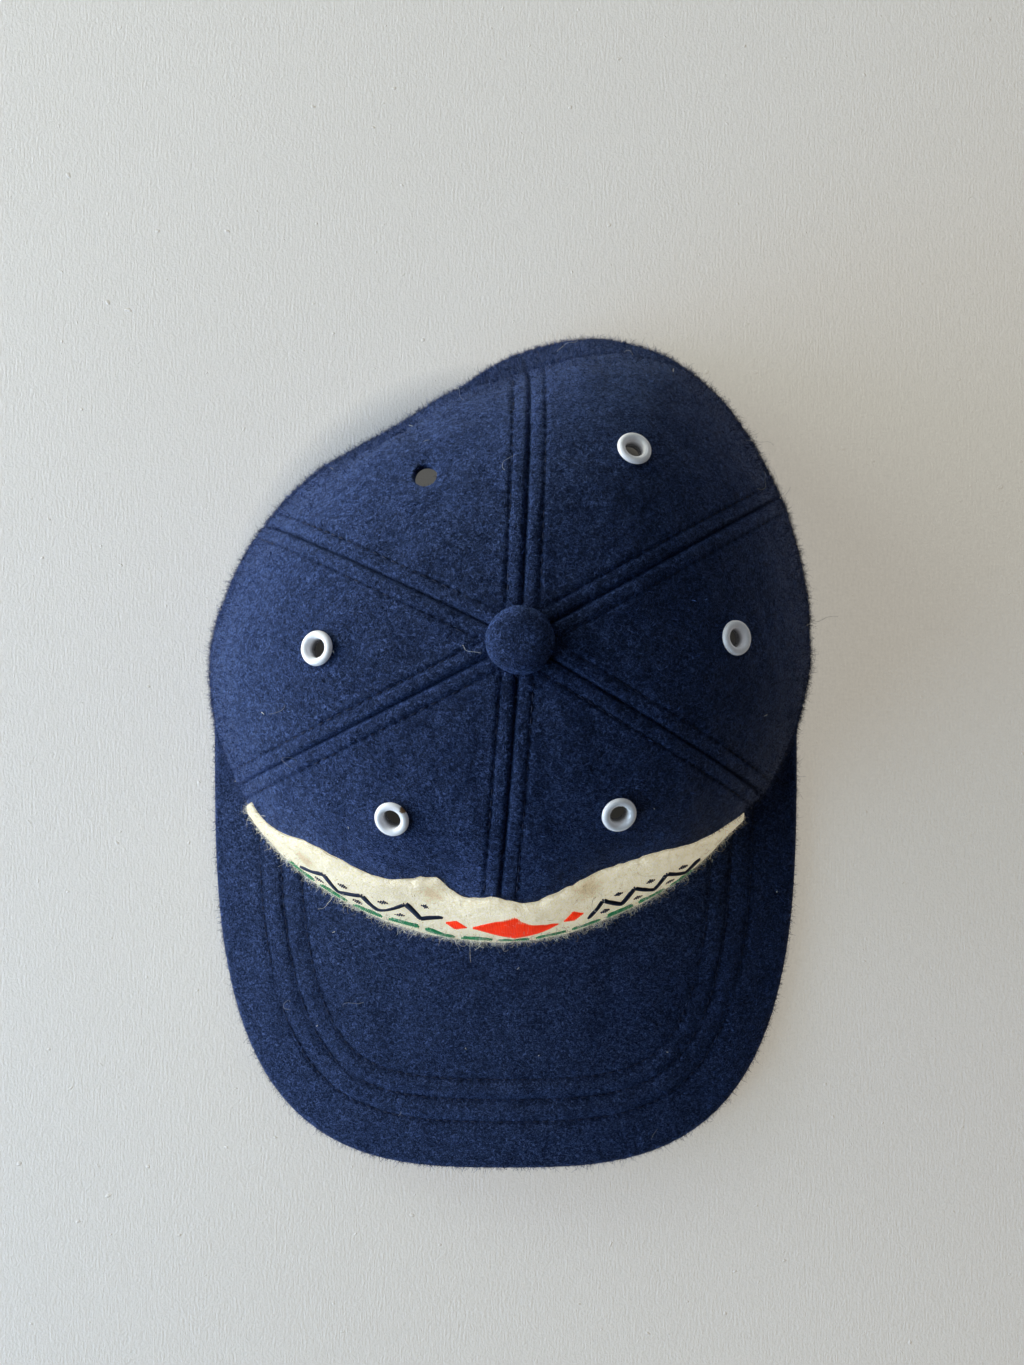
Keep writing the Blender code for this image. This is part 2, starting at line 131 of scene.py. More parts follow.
FELT_EDGE = (
    EdgePoint(-59, 0.660),
    EdgePoint(-56, 0.668),
    EdgePoint(-52, 0.628),
    EdgePoint(-47, 0.545),
    EdgePoint(-40, 0.508),
    EdgePoint(-30, 0.488),
    EdgePoint(-20, 0.457),
    EdgePoint(-13, 0.472),
    EdgePoint(-5, 0.438),
    EdgePoint(3, 0.450),
    EdgePoint(10, 0.445),
    EdgePoint(24, 0.456),
    EdgePoint(34, 0.468),
    EdgePoint(44, 0.548),
    EdgePoint(50, 0.602),
    EdgePoint(54, 0.660),
)
FELT_LEFT, FELT_RIGHT = FELT_EDGE[0].angle, FELT_EDGE[-1].angle


# Numbers and arrays


def smooth_step(value: Array, low: float = 0.0, high: float = 1.0) -> Array:
    """Even rise from 0 at low to 1 at high."""
    share = np.clip((value - low) / (high - low), 0.0, 1.0)
    return share * share * (3 - 2 * share)


def hump(distance: Array, width: float) -> Array:
    """Soft hump of height 1 at distance 0."""
    return np.exp(-((distance / width) ** 2))


def unit(vectors: Array) -> Array:
    """The vectors at length 1."""
    return vectors / np.maximum(np.linalg.norm(vectors, axis=-1, keepdims=True), 1e-12)


def between(start: Array, end: Array, share: Array) -> Array:
    """Points at a share of the way from start to end."""
    return start + (end - start) * share


def catmull_rom(four: Sequence[Array], share: Array) -> Array:
    """Value between the middle two of four values on a smooth curve through all."""
    before, start, end, after = four
    return 0.5 * (
        2 * start
        + (end - before) * share
        + (2 * before - 5 * start + 4 * end - after) * share**2
        + (3 * start - before - 3 * end + after) * share**3
    )


def read_table(rows: Sequence[NamedTuple], column: str, angle: Array, closed: bool) -> Array:
    """Reads a column of a table by angle, on a smooth curve.

    Args:
        rows: The table, in the order of its angles.
        column: The column's name.
        angle: Angles to read it at.
        closed: Whether the table goes all the way round.

    Returns:
        The column's value at each angle.
    """
    angles = np.array([row.angle for row in rows] + [360.0] * closed)
    values = np.array([getattr(row, column) for row in rows])
    last = len(angles) - 1
    low = np.clip(np.searchsorted(angles, angle, side="right") - 1, 0, last - 1)
    share = (angle - angles[low]) / (angles[low + 1] - angles[low])
    four = [low + step for step in (-1, 0, 1, 2)]
    four = [place % last if closed else np.clip(place, 0, last) for place in four]
    return catmull_rom([values[place] for place in four], share)


def bezier(values: Sequence[Array], share: Array) -> Array:
    """Reads a cubic Bezier curve.

    Args:
        values: Its four control values.
        share: Share of the way along it.

    Returns:
        The curve's value.
    """
    rest = 1 - share
    weights = (rest**3, 3 * rest**2 * share, 3 * rest * share**2, share**3)
    return sum(weight * value for weight, value in zip(weights, values))


def run_lengths(points: Array, axis: int = 0) -> Array:
    """Adds up the distance travelled along a grid of points.

    Args:
        points: The grid.
        axis: The axis to travel along, from its first point.

    Returns:
        The distance at each point.
    """
    steps = np.linalg.norm(np.diff(points, axis=axis), axis=-1)
    start = np.zeros_like(np.take(steps, [0], axis=axis))
    return np.concatenate([start, np.cumsum(steps, axis=axis)], axis=axis)


def along_line(stations: Array, line: Array, wanted: Array) -> Array:
    """Points of a line at wanted distances along it.

    Args:
        stations: Distance along the line of each of its points.
        line: The line's points or normals, one row each.
        wanted: The distances to find.

    Returns:
        One row for each wanted distance.
    """
    return np.stack(
        [np.interp(wanted, stations, line[:, axis]) for axis in range(3)], axis=-1
    )


class Ripples:
    """Soft seeded unevenness in space, as a sum of waves in many directions."""

    def __init__(self, seed: int, wavelength: float, waves: int = 14) -> None:
        """Draws the waves.

        Args:
            seed: Seed of the draws.
            wavelength: Typical length of a wave.
            waves: How many waves are summed.
        """
        draw = np.random.default_rng(seed)
        lengths = wavelength * draw.uniform(0.6, 1.7, waves)
        self.pull = unit(draw.normal(size=(waves, 3))) * (2 * math.pi / lengths)[:, None]
        self.phase = draw.uniform(0, 2 * math.pi, waves)

    def at(self, points: Array) -> Array:
        """Unevenness at points, mostly between -1 and 1."""
        waves = np.sin(points @ self.pull.T + self.phase)
        return waves.sum(axis=-1) / math.sqrt(len(self.phase))


# The cap's main form


@dataclass(frozen=True)
class CapShape:
    """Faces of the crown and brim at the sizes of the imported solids."""

    plan_shift: float
    crown_height: float = 0.107
    hem_half_width: float = 0.088
    hem_front_reach: float = 0.0838
    hem_rear_reach: float = 0.100
    crown_sway: float = 0.004
    panel_wall: float = 0.0018
    apex_hole_radius: float = 0.0034
    fold_depth: float = 0.0040
    hem_lift_run: float = 18.0
    brim_half_width: float = 0.0943
    brim_reach: float = 0.1637
    brim_widest_at: float = 0.026
    brim_shoulder: float = 0.030
    brim_squareness: float = 3.30
    brim_arch: float = 0.0133
    brim_droop: float = 0.0025
    brim_foot_width: float = 0.0025
    brim_cloth: float = 0.0022
    brim_tip_angle: float = 82.0
    brim_tip_margin: float = 0.0016
    piece_gap: float = 0.0003

    def section(self, column: str, angle: Array) -> Array:
        """A column of the sections' table at any angle."""
        return read_table(SECTIONS, column, np.mod(angle, 360.0), closed=True)

    def felt_edge(self, angle: Array) -> Array:
        """How far down from the apex the felt's upper edge lies."""
        inside = np.clip(angle, FELT_LEFT, FELT_RIGHT)
        return read_table(FELT_EDGE, "down", inside, closed=False)

    def plan(self, angle: Array) -> tuple[Array, Array]:
        """Unit direction in the plan, as its x and y."""
        turn = np.radians(angle)
        return np.sin(turn), -np.cos(turn)

    def angle_of(self, x: Array, y: Array) -> Array:
        """Angle round the crown, for x and y from its middle."""
        return np.degrees(np.arctan2(x, -y))

    def signed(self, angle: Array) -> Array:
        """The angle between -180 and 180, so that the left side is negative."""
        return np.mod(angle + 180.0, 360.0) - 180.0

    def brim_under(self, x: Array, y: Array) -> Array:
        """Works out the brim's arch and the droop of its front.

        Args:
            x: Distance to the right of the crown's middle.
            y: Distance behind the crown's middle.

        Returns:
            Height of the brim's under face.
        """
        foot = self.brim_half_width - self.brim_foot_width
        arch = self.brim_arch * (1 - (x / foot) ** 2)
        length = self.brim_reach - self.hem_front_reach
        droop = self.brim_droop * np.maximum(0.0, -y - self.hem_front_reach) / length
        return np.maximum(0.0, arch - droop)

    def brim_top(self, x: Array, y: Array) -> Array:
        """Height of the brim's top face, for x and y from the crown's middle."""
        return self.brim_under(x, y) + 2 * self.brim_cloth + self.piece_gap

    def hem_radius(self, angle: Array) -> Array:
        """Works out the hem's oval, with the sections' reach.

        Args:
            angle: Angles round the crown.

        Returns:
            Plan radius of the crown's outer face at the hem.
        """
        x, y = self.plan(angle)
        reach = np.where(y < 0, self.hem_front_reach, self.hem_rear_reach)
        oval = 1 / np.hypot(x / self.hem_half_width, y / reach)
        return oval * self.section("reach", angle)

    def over_brim(self, angle: Array) -> Array:
        """1 over the brim, falling to 0 behind its tips."""
        past = (np.abs(self.signed(angle)) - self.brim_tip_angle) / self.hem_lift_run
        return smooth_step(1 - past)

    def hem_height(self, angle: Array, x: Array, y: Array) -> Array:
        """Height of the hem, for x and y from the crown's middle."""
        return (self.brim_top(x, y) + self.piece_gap) * self.over_brim(angle)

    def fold(self, angle: Array, down: Array) -> Array:
        """Sums the soft folds and dents.

        Args:
            angle: Angles round the crown.
            down: Shares down from the apex.

        Returns:
            Push of the crown's face, outwards in the plan.
        """
        total = 0.0
        for fold in FOLDS:
            across = self.signed(angle - fold.angle) / fold.angle_width
            along = (down - fold.down) / fold.down_width
            total = total + fold.depth * np.exp(-(across**2) - along**2)
        return self.fold_depth * total

    def radius(self, angle: Array, down: Array) -> Array:
        """Works out how far the crown reaches in the plan.

        Args:
            angle: Angles round the crown.
            down: Shares down from the apex.

        Returns:
            Plan radius of the crown's outer face.
        """
        hem = self.hem_radius(angle)
        flat_top = self.section("flat_top", angle) * hem
        wall = (1 + self.section("lean", angle)) * hem
        return bezier((0.0 * hem, flat_top, wall, hem), down) + self.fold(angle, down)

    def face(self, angle: Array, down: Array) -> Array:
        """Places points of the crown's outer face.

        Args:
            angle: Angles round the crown.
            down: Shares down from the apex.

        Returns:
            The points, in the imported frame.
        """
        angle, down = np.broadcast_arrays(np.float64(angle), np.float64(down))
        x, y = self.plan(angle)
        hem = self.hem_radius(angle)
        foot = self.hem_height(angle, hem * x, hem * y)
        top = self.crown_height
        shoulder = foot + self.section("steep_wall", angle) * (top - foot)
        height = bezier((top, top, shoulder, foot), down)
        radius = self.radius(angle, down)
        sway = self.crown_sway * (height - foot) / (top - foot)
        return np.stack([radius * x + sway, radius * y + self.plan_shift, height], -1)

    def normal(self, angle: Array, down: Array) -> Array:
        """Works out the outward normals of the crown's face.

        Args:
            angle: Angles round the crown.
            down: Shares down from the apex.

        Returns:
            The normals, from steps to either side.
        """
        turn, step = 0.5, 0.004
        across = self.face(angle + turn, down) - self.face(angle - turn, down)
        low, high = np.maximum(step, down - step), np.minimum(1.0, down + step)
        return unit(np.cross(self.face(angle, high) - self.face(angle, low), across))

    def offset(self, angle: Array, down: Array, distance: Array) -> Array:
        """Points at a distance outside the crown's face, or inside it if negative."""
        lift = np.asarray(distance)[..., None]
        return self.face(angle, down) + lift * self.normal(angle, down)

    def apex_down(self, angle: Array) -> Array:
        """Share at which the crown's face starts, at the rim of the apex hole."""
        slope = 3 * self.section("flat_top", angle) * self.hem_radius(angle)
        return self.apex_hole_radius / slope

    def brim_edge(self, angle: Array) -> Array:
        """Finds the brim's outer edge, by halving steps along the direction.

        Args:
            angle: Angles round the crown.

        Returns:
            Plan radius of the edge.
        """
        x, y = self.plan(angle)
        low = np.zeros_like(angle)
        high = np.full_like(angle, 2 * self.brim_reach)
        for _ in range(40):
            middle = (low + high) / 2
            ahead = -middle * y - self.brim_widest_at
            front = self.brim_reach - self.brim_widest_at
            length = np.where(ahead > 0, front, self.brim_shoulder)
            across = np.abs(middle * x / self.brim_half_width) ** self.brim_squareness
            inside = across + np.abs(ahead / length) ** self.brim_squareness < 1
            low, high = np.where(inside, middle, low), np.where(inside, high, middle)
        return np.maximum(low, self.hem_radius(angle) + self.brim_tip_margin)

    def in_plan(self, angle: Array, radius: Array) -> tuple[Array, Array]:
        """x and y from the crown's middle, for an angle and a plan radius."""
        x, y = self.plan(angle)
        return radius * x, radius * y

    def placed(self, x: Array, y: Array, z: Array) -> Array:
        """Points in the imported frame, for x and y from the crown's middle."""
        return np.stack([x, y + self.plan_shift, z], axis=-1)

    def around(self, points: Array) -> tuple[Array, Array]:
        """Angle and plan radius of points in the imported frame."""
        x, y = points[..., 0], points[..., 1] - self.plan_shift
        return self.angle_of(x, y), np.hypot(x, y)

    def level_hem(self, grid: Array, angle: Array) -> None:
        """Brings the last row of a grid of crown points to the hem's height."""
        x, y = grid[-1, :, 0], grid[-1, :, 1] - self.plan_shift
        grid[-1, :, 2] = self.hem_height(angle[-1], x, y)


# Shader recipes


class Value:
    """A number that varies over a surface; sums and products of it add Math nodes."""

    def __init__(self, recipe: "Recipe", socket: Socket) -> None:
        """Wraps an output socket of a recipe."""
        self.recipe = recipe
        self.socket = socket

    def _math(self, operation: str, *terms: "Value | float", clamp: bool = False) -> "Value":
        """Adds one Math node on the given terms."""
        settings = {"operation": operation, "use_clamp": clamp}
        return self.recipe.value("ShaderNodeMath", 0, settings, dict(enumerate(terms)))

    def __add__(self, other: "Value | float") -> "Value":
        """Sum."""
        return self._math("ADD", self, other)

    def __sub__(self, other: "Value | float") -> "Value":
        """Difference."""
        return self._math("SUBTRACT", self, other)

    def __rsub__(self, other: float) -> "Value":
        """Difference from a number."""
        return self._math("SUBTRACT", other, self)

    def __mul__(self, other: "Value | float") -> "Value":
        """Product."""
        return self._math("MULTIPLY", self, other)

    __radd__ = __add__
    __rmul__ = __mul__

    def sine(self) -> "Value":
        """Sine of the value in radians."""
        return self._math("SINE", self)

    def rise(self, low: float, high: float) -> "Value":
        """0 up to low, 1 from high, and a straight rise between."""
        scale = 1.0 / (high - low)
        return self._math("MULTIPLY_ADD", self, scale, -low * scale, clamp=True)


class Recipe:
    """The nodes of one material, with its Principled shader."""

    def __init__(self, name: str) -> None:
        """Starts an empty material.

        Args:
            name: The material's name.
        """
        self.material = bpy.data.materials.new(name)
        self.material.use_nodes = True
        self.tree = self.material.node_tree
        self.tree.nodes.clear()
        place = self.node("ShaderNodeTexCoord")
        self.place = place.outputs["Object"]

    def node(
        self, kind: str, settings: dict | None = None, sockets: dict | None = None
    ) -> bpy.types.Node:
        """Adds one node.

        Args:
            kind: Blender's name of the node's type.
            settings: The node's own settings, which are set first.
            sockets: Value or link of each input, by its name or number.

        Returns:
            The new node.
        """
        made = self.tree.nodes.new(kind)
        for name, value in (settings or {}).items():
            setattr(made, name, value)
        for key, value in (sockets or {}).items():
            value = value.socket if isinstance(value, Value) else value
            if isinstance(value, Socket):
                self.tree.links.new(value, made.inputs[key])
            else:
                made.inputs[key].default_value = value
        return made

    def value(
        self, kind: str, output: int | str, settings: dict | None, sockets: dict | None
    ) -> Value:
        """Adds one node, and wraps an output of it that is a number."""
        return Value(self, self.node(kind, settings, sockets).outputs[output])

    def noise(
        self,
        size: float,
        detail: float = 2.0,
        roughness: float = 0.5,
        stretch: Colour = (1.0, 1.0, 1.0),
        distortion: float = 0.0,
    ) -> Value:
        """Noise between 0 and 1.

        Args:
            size: Typical width of its patches.
            detail: Octaves of finer noise.
            roughness: Weight of each finer octave.
            stretch: How much longer the patches are along each axis.
            distortion: Warp of the patches.

        Returns:
            The noise's value.
        """
        vector = self.place
        if stretch != (1.0, 1.0, 1.0):
            scale = tuple(1.0 / part for part in stretch)
            mapped = self.node(
                "ShaderNodeMapping", sockets={"Vector": self.place, "Scale": scale}
            )
            vector = mapped.outputs[0]
        sockets = {
            "Vector": vector,
            "Scale": 1.0 / size,
            "Detail": detail,
            "Roughness": roughness,
            "Distortion": distortion,
        }
        return self.value("ShaderNodeTexNoise", 0, None, sockets)

    def attribute(self, name: str) -> Value:
        """A number stored on the mesh's points."""
        return self.value("ShaderNodeAttribute", "Fac", {"attribute_name": name}, None)

    def distance(self, point: Sequence[float]) -> Value:
        """Distance of the surface from a point."""
        sockets = {0: self.place, 1: tuple(point)}
        return self.value("ShaderNodeVectorMath", "Value", {"operation": "DISTANCE"}, sockets)

    def mix(
        self,
        share: Value | float,
        low: Colour | Socket,
        high: Colour | Socket,
        blend: str = "MIX",
    ) -> Socket:
        """Mix of two colours.

        Args:
            share: Share of the second colour.
            low: First colour.
            high: Second colour.
            blend: Blender's name of the way of mixing.

        Returns:
            The mixed colour's socket.
        """
        sockets = {0: share}
        for key, colour in ((6, low), (7, high)):
            plain = isinstance(colour, tuple)
            sockets[key] = (*colour, 1.0) if plain else colour
        settings = {"data_type": "RGBA", "blend_type": blend}
        return self.node("ShaderNodeMix", settings, sockets).outputs[2]

    def bump(self, height: Value, depth: float) -> Socket:
        """Normal of a relief whose full height is depth."""
        sockets = {"Height": height, "Distance": depth, "Strength": 1.0}
        return self.node("ShaderNodeBump", sockets=sockets).outputs[0]

    def principled(self, sockets: dict) -> Socket:
        """Adds a Principled shader with these sockets and gives its output."""
        return self.node("ShaderNodeBsdfPrincipled", sockets=sockets).outputs[0]

    def surface(self, shader: Socket) -> Material:
        """Gives the material with this shader on its surface."""
        self.node("ShaderNodeOutputMaterial", sockets={"Surface": shader})
        return self.material

    def finish(self, sockets: dict) -> Material:
        """Gives the material of one Principled shader with these sockets."""
        return self.surface(self.principled(sockets))


@dataclass(frozen=True)
class WoolFinish:
    """Brushed melton wool: bright matted tufts over a dark ground."""

    name: str = "navy_wool"
    deep: Colour = (0.0010, 0.0024, 0.0085)
    mid: Colour = (0.0140, 0.0240, 0.0760)
    pale: Colour = (0.1230, 0.1820, 0.4150)
    speck: Colour = (0.2300, 0.2700, 0.4000)
    worn_dim: Colour = (0.84, 0.86, 0.92)
    worn_bright: Colour = (1.14, 1.10, 1.05)
    clump_size: float = 1.9 * MM
    fibre_size: float = 0.68 * MM
    speck_size: float = 1.1 * MM
    worn_size: float = 38 * MM
    relief_depth: float = 1.2 * MM
    ground_sheen: float = 0.20
    tuft_sheen: float = 0.85
    gloss_tint: Colour = (0.26, 0.42, 1.00)
    sheen_tint: Colour = (0.25, 0.41, 1.00)

    def make(self) -> Material:
        """Makes the finish.

        Returns:
            Its material.
        """
        recipe = Recipe(self.name)
        clumps = recipe.noise(self.clump_size, 3.0, 0.60)
        fibres = recipe.noise(self.fibre_size, 3.0, 0.70, distortion=1.2)
        specks = recipe.noise(self.speck_size, 2.0, 0.60, distortion=2.0)
        worn = recipe.noise(self.worn_size, 2.0, 0.5)
        # The crease attribute is shade painted in seam grooves, sewn rows, folds and round the
        # eyelets; it darkens the wool and makes it rougher.
        crease_shade = recipe.attribute("crease_shade")
        matted = (0.7 * fibres + 0.3 * clumps).rise(0.43, 0.57)
        colour = recipe.mix(matted, self.deep, self.mid)
        colour = recipe.mix(fibres.rise(0.52, 0.65) * 0.82, colour, self.pale)
        colour = recipe.mix(specks.rise(0.69, 0.77) * 0.6, colour, self.speck)
        shade = recipe.mix(worn.rise(0.35, 0.65), self.worn_dim, self.worn_bright)
        colour = recipe.mix(1.0, colour, shade, "MULTIPLY")
        both = {
            "Roughness": 0.55 + 0.30 * crease_shade,
            "Specular Tint": (*self.gloss_tint, 1.0),
            "Sheen Roughness": 0.50,
            "Sheen Tint": (*self.sheen_tint, 1.0),
            "Normal": recipe.bump(0.7 * fibres + 0.4 * clumps, self.relief_depth),
        }
        ground = recipe.principled(
            {
                **both,
                "Base Color": (*self.deep, 1.0),
                "Specular IOR Level": 0.15,
                "Sheen Weight": self.ground_sheen,
            }
        )
        tufts = recipe.principled(
            {
                **both,
                "Base Color": colour,
                "Specular IOR Level": 0.40,
                "Sheen Weight": self.tuft_sheen,
            }
        )
        # Painted shade: where the crease mask is high, the dark ground shows instead of the tufts.
        raised = (0.35 + 0.65 * matted) * (1 - 0.85 * crease_shade)
        mixed = recipe.node("ShaderNodeMixShader", sockets={0: raised, 1: ground, 2: tufts})
        return recipe.surface(mixed.outputs[0])


@dataclass(frozen=True)
class FeltFinish:
    """Cream felt with matted fibres, a few brown stains and a weak light of its own."""

    stains: tuple[tuple[Vector, float], ...]
    name: str = "cream_felt"
    cream: Colour = (0.810, 0.770, 0.620)
    shade: Colour = (0.570, 0.520, 0.395)
    stain: Colour = (0.380, 0.260, 0.095)
    glow_tint: Colour = (0.735, 0.690, 0.615)
    sheen_tint: Colour = (1.0, 0.90, 0.66)
    clump_size: float = 3.4 * MM
    fibre_size: float = 0.60 * MM
    worn_size: float = 16 * MM
    relief_depth: float = 1.0 * MM

    def make(self) -> Material:
        """Makes the finish.

        Returns:
            Its material.
        """
        recipe = Recipe(self.name)
        clumps = recipe.noise(self.clump_size, 3.0, 0.55)
        fibres = recipe.noise(self.fibre_size, 3.0, 0.65, distortion=1.0)
        worn = recipe.noise(self.worn_size, 2.0, 0.5)
        matted = (0.75 * fibres + 0.25 * clumps).rise(0.38, 0.55)
        colour = recipe.mix(matted, self.shade, self.cream)
        colour = recipe.mix(worn.rise(0.52, 0.75) * 0.14, colour, self.shade)
        for centre, reach in self.stains:
            away = recipe.distance(centre) + (clumps - 0.5) * (reach * 1.1)
            mark = (1 - away.rise(reach * 0.25, reach)) * 0.50
            colour = recipe.mix(mark, colour, self.stain)
        glow = recipe.mix(1.0, colour, self.glow_tint, "MULTIPLY")
        relief = recipe.bump(0.8 * fibres + 0.3 * clumps, self.relief_depth)
        sockets = {
            "Base Color": colour,
            "Emission Color": glow,
            "Emission Strength": 1.0,
            "Roughness": 0.95,
            "Specular IOR Level": 0.15,
            "Sheen Weight": 0.60,
            "Sheen Roughness": 0.5,
            "Sheen Tint": (*self.sheen_tint, 1.0),
            "Normal": relief,
        }
        return recipe.finish(sockets)


@dataclass(frozen=True)
class FibreFinish:
    """A loose fibre's plain colour; fibres are too thin to show more."""

    name: str
    colour: Colour
    gloss: float = 0.25
    gloss_tint: Colour = (1.0, 1.0, 1.0)

    def make(self) -> Material:
        """Makes the finish.

        Returns:
            Its material.
        """
        recipe = Recipe(self.name)
        sockets = {
            "Base Color": (*self.colour, 1.0),
            "Roughness": 0.55,
            "Specular IOR Level": self.gloss,
            "Specular Tint": (*self.gloss_tint, 1.0),
        }
        return recipe.finish(sockets)


@dataclass(frozen=True)
class ThreadFinish:
    """Sewing or embroidery thread with a soft lustre."""

    name: str
    colour: Colour
    lustre: float = 0.5
    # Strength of a weak painted glow in the thread's own colour.
    own_light: float = 0.0
    dye_size: float = 1.8 * MM
    ply_size: float = 0.16 * MM
    ply_depth: float = 0.06 * MM

    def make(self) -> Material:
        """Makes the finish.

        Returns:
            Its material.
        """
        recipe = Recipe(self.name)
        dye = recipe.noise(self.dye_size, 2.0, 0.6)
        low = tuple(0.72 * part for part in self.colour)
        high = tuple(min(1.0, 1.18 * part) for part in self.colour)
        ply = recipe.noise(self.ply_size, 1.0, 0.5)
        colour = recipe.mix(dye.rise(0.3, 0.7), low, high)
        sockets = {
            "Base Color": colour,
            "Emission Color": colour,
            "Emission Strength": self.own_light,
            "Roughness": 0.80 - 0.40 * self.lustre,
            "Specular IOR Level": 0.30,
            "Normal": recipe.bump(ply, self.ply_depth),
        }
        return recipe.finish(sockets)


@dataclass(frozen=True)
class EnamelFinish:
    """Glossy white enamel on metal with a brown chip, a weak painted glow and painted shade in its
    barrel.
    """

    chip: Vector
    name: str = "white_enamel"
    white: Colour = (0.90, 0.90, 0.94)
    greyed: Colour = (0.82, 0.82, 0.85)
    rust: Colour = (0.20, 0.115, 0.055)
    # Colour of the shade painted down inside the barrel.
    barrel: Colour = (0.045, 0.045, 0.050)
    cloud_size: float = 1.6 * MM
    chip_grain: float = 0.5 * MM
    chip_unevenness: float = 1.1 * MM
    chip_inside: float = 0.75 * MM
    chip_outside: float = 1.05 * MM
    relief_depth: float = 0.06 * MM

    def make(self) -> Material:
        """Makes the finish.

        Returns:
            Its material.
        """
        recipe = Recipe(self.name)
        cloud = recipe.noise(self.cloud_size, 3.0, 0.6)
        fine = recipe.noise(self.chip_grain, 3.0, 0.6)
        away = recipe.distance(self.chip) + (fine - 0.5) * self.chip_unevenness
        chipped = 1 - away.rise(self.chip_inside, self.chip_outside)
        colour = recipe.mix(cloud.rise(0.35, 0.75), self.white, self.greyed)
        colour = recipe.mix(chipped, colour, self.rust)
        # Painted shade: the crease attribute darkens the enamel down inside the barrel.
        colour = recipe.mix(recipe.attribute("crease_shade") * 0.90, colour, self.barrel)
        sockets = {
            "Base Color": colour,
            # A weak painted glow keeps the enamel white where it lies in shade.
            "Emission Color": colour,
            "Emission Strength": 0.10,
            "Roughness": 0.20 + 0.14 * cloud + 0.45 * chipped,
            "Normal": recipe.bump(cloud - 0.5 * chipped, self.relief_depth),
            "Coat Weight": 0.35,
            "Coat Roughness": 0.12,
        }
        return recipe.finish(sockets)


@dataclass(frozen=True)
class TwillFinish:
    """Cotton twill of the sweatband, with diagonal ribs."""

    name: str = "navy_cotton"
    dark: Colour = (0.010, 0.014, 0.034)
    pale: Colour = (0.030, 0.038, 0.080)
    rib_pitch: float = 0.9 * MM
    rib_depth: float = 0.12 * MM
    worn_size: float = 7 * MM

    def make(self) -> Material:
        """Makes the finish.

        Returns:
            Its material.
        """
        recipe = Recipe(self.name)
        parts = recipe.node("ShaderNodeSeparateXYZ", sockets={"Vector": recipe.place})
        across, deep, up = (Value(recipe, output) for output in parts.outputs)
        turn = (across + deep + up) * (2 * math.pi / self.rib_pitch)
        ribs = turn.sine() * 0.5 + 0.5
        worn = recipe.noise(self.worn_size, 3.0, 0.6)
        colour = recipe.mix(ribs * 0.6 + worn * 0.4, self.dark, self.pale)
        sockets = {
            "Base Color": colour,
            "Roughness": 0.85,
            "Specular IOR Level": 0.25,
            "Normal": recipe.bump(ribs, self.rib_depth),
        }
        return recipe.finish(sockets)


class Shelter(NamedTuple):
    """A round stretch of the floor that the cap keeps from the room's light."""

    centre: Place
    dim_to: float
    bright_from: float


@dataclass(frozen=True)
class FloorFinish:
    """Pale painted board with fine brush marks and grit under the paint.

    A weak warm light of its own stands for the bright room's light in the cap's shadow;
    it fades away under the crown and the brim.
    """

    name: str = "painted_floor"
    colour: Colour = (0.422, 0.450, 0.492)
    room_light: Colour = (0.382, 0.350, 0.294)
    dim_light: Colour = (0.022, 0.021, 0.018)
    under_crown: Shelter = Shelter((0.0, 0.032, 0.0), 75 * MM, 95 * MM)
    under_brim: Shelter = Shelter((0.0, -0.050, 0.0), 62 * MM, 82 * MM)
    stroke_width: float = 0.65 * MM
    stroke_stretch: float = 7.0
    grain_size: float = 0.85 * MM
    grit_size: float = 3.2 * MM
    cloud_size: float = 90 * MM
    relief_depth: float = 0.42 * MM

    def make(self) -> Material:
        """Makes the finish.

        Returns:
            Its material.
        """
        recipe = Recipe(self.name)
        stretch = (1.0, self.stroke_stretch, 1.0)
        brushed = recipe.noise(self.stroke_width, 3.0, 0.6, stretch)
        grain = recipe.noise(self.grain_size, 3.0, 0.65)
        grit = recipe.noise(self.grit_size, 1.0, 0.5).rise(0.75, 0.82)
        clouds = recipe.noise(self.cloud_size, 3.0, 0.5)
        tint = tuple(0.965 * part for part in self.colour)
        colour = recipe.mix(clouds.rise(0.3, 0.7), tint, self.colour)
        relief = brushed * 0.45 + grain * 0.60 + grit * 0.9
        crown, brim = (
            recipe.distance(part.centre).rise(part.dim_to, part.bright_from)
            for part in (self.under_crown, self.under_brim)
        )
        low, high = (tuple(k * part for part in self.room_light) for k in (0.92, 1.08))
        uneven = recipe.mix((brushed * 0.4 + grain * 0.6).rise(0.35, 0.65), low, high)
        glow = recipe.mix(crown * brim, self.dim_light, uneven)
        sockets = {
            "Base Color": colour,
            "Roughness": 0.48 + 0.12 * brushed,
            "Specular IOR Level": 0.30,
            "Emission Color": glow,
            "Emission Strength": 1.0,
            "Normal": recipe.bump(relief, self.relief_depth),
        }
        return recipe.finish(sockets)


# Pieces


def add_object(name: str, data: bpy.types.ID) -> Object:
    """Adds an object of a mesh, a lamp or a camera to the scene.

    Args:
        name: The object's name.
        data: What it shows.

    Returns:
        The new object.
    """
    made = bpy.data.objects.new(name, data)
    bpy.context.scene.collection.objects.link(made)
    return made


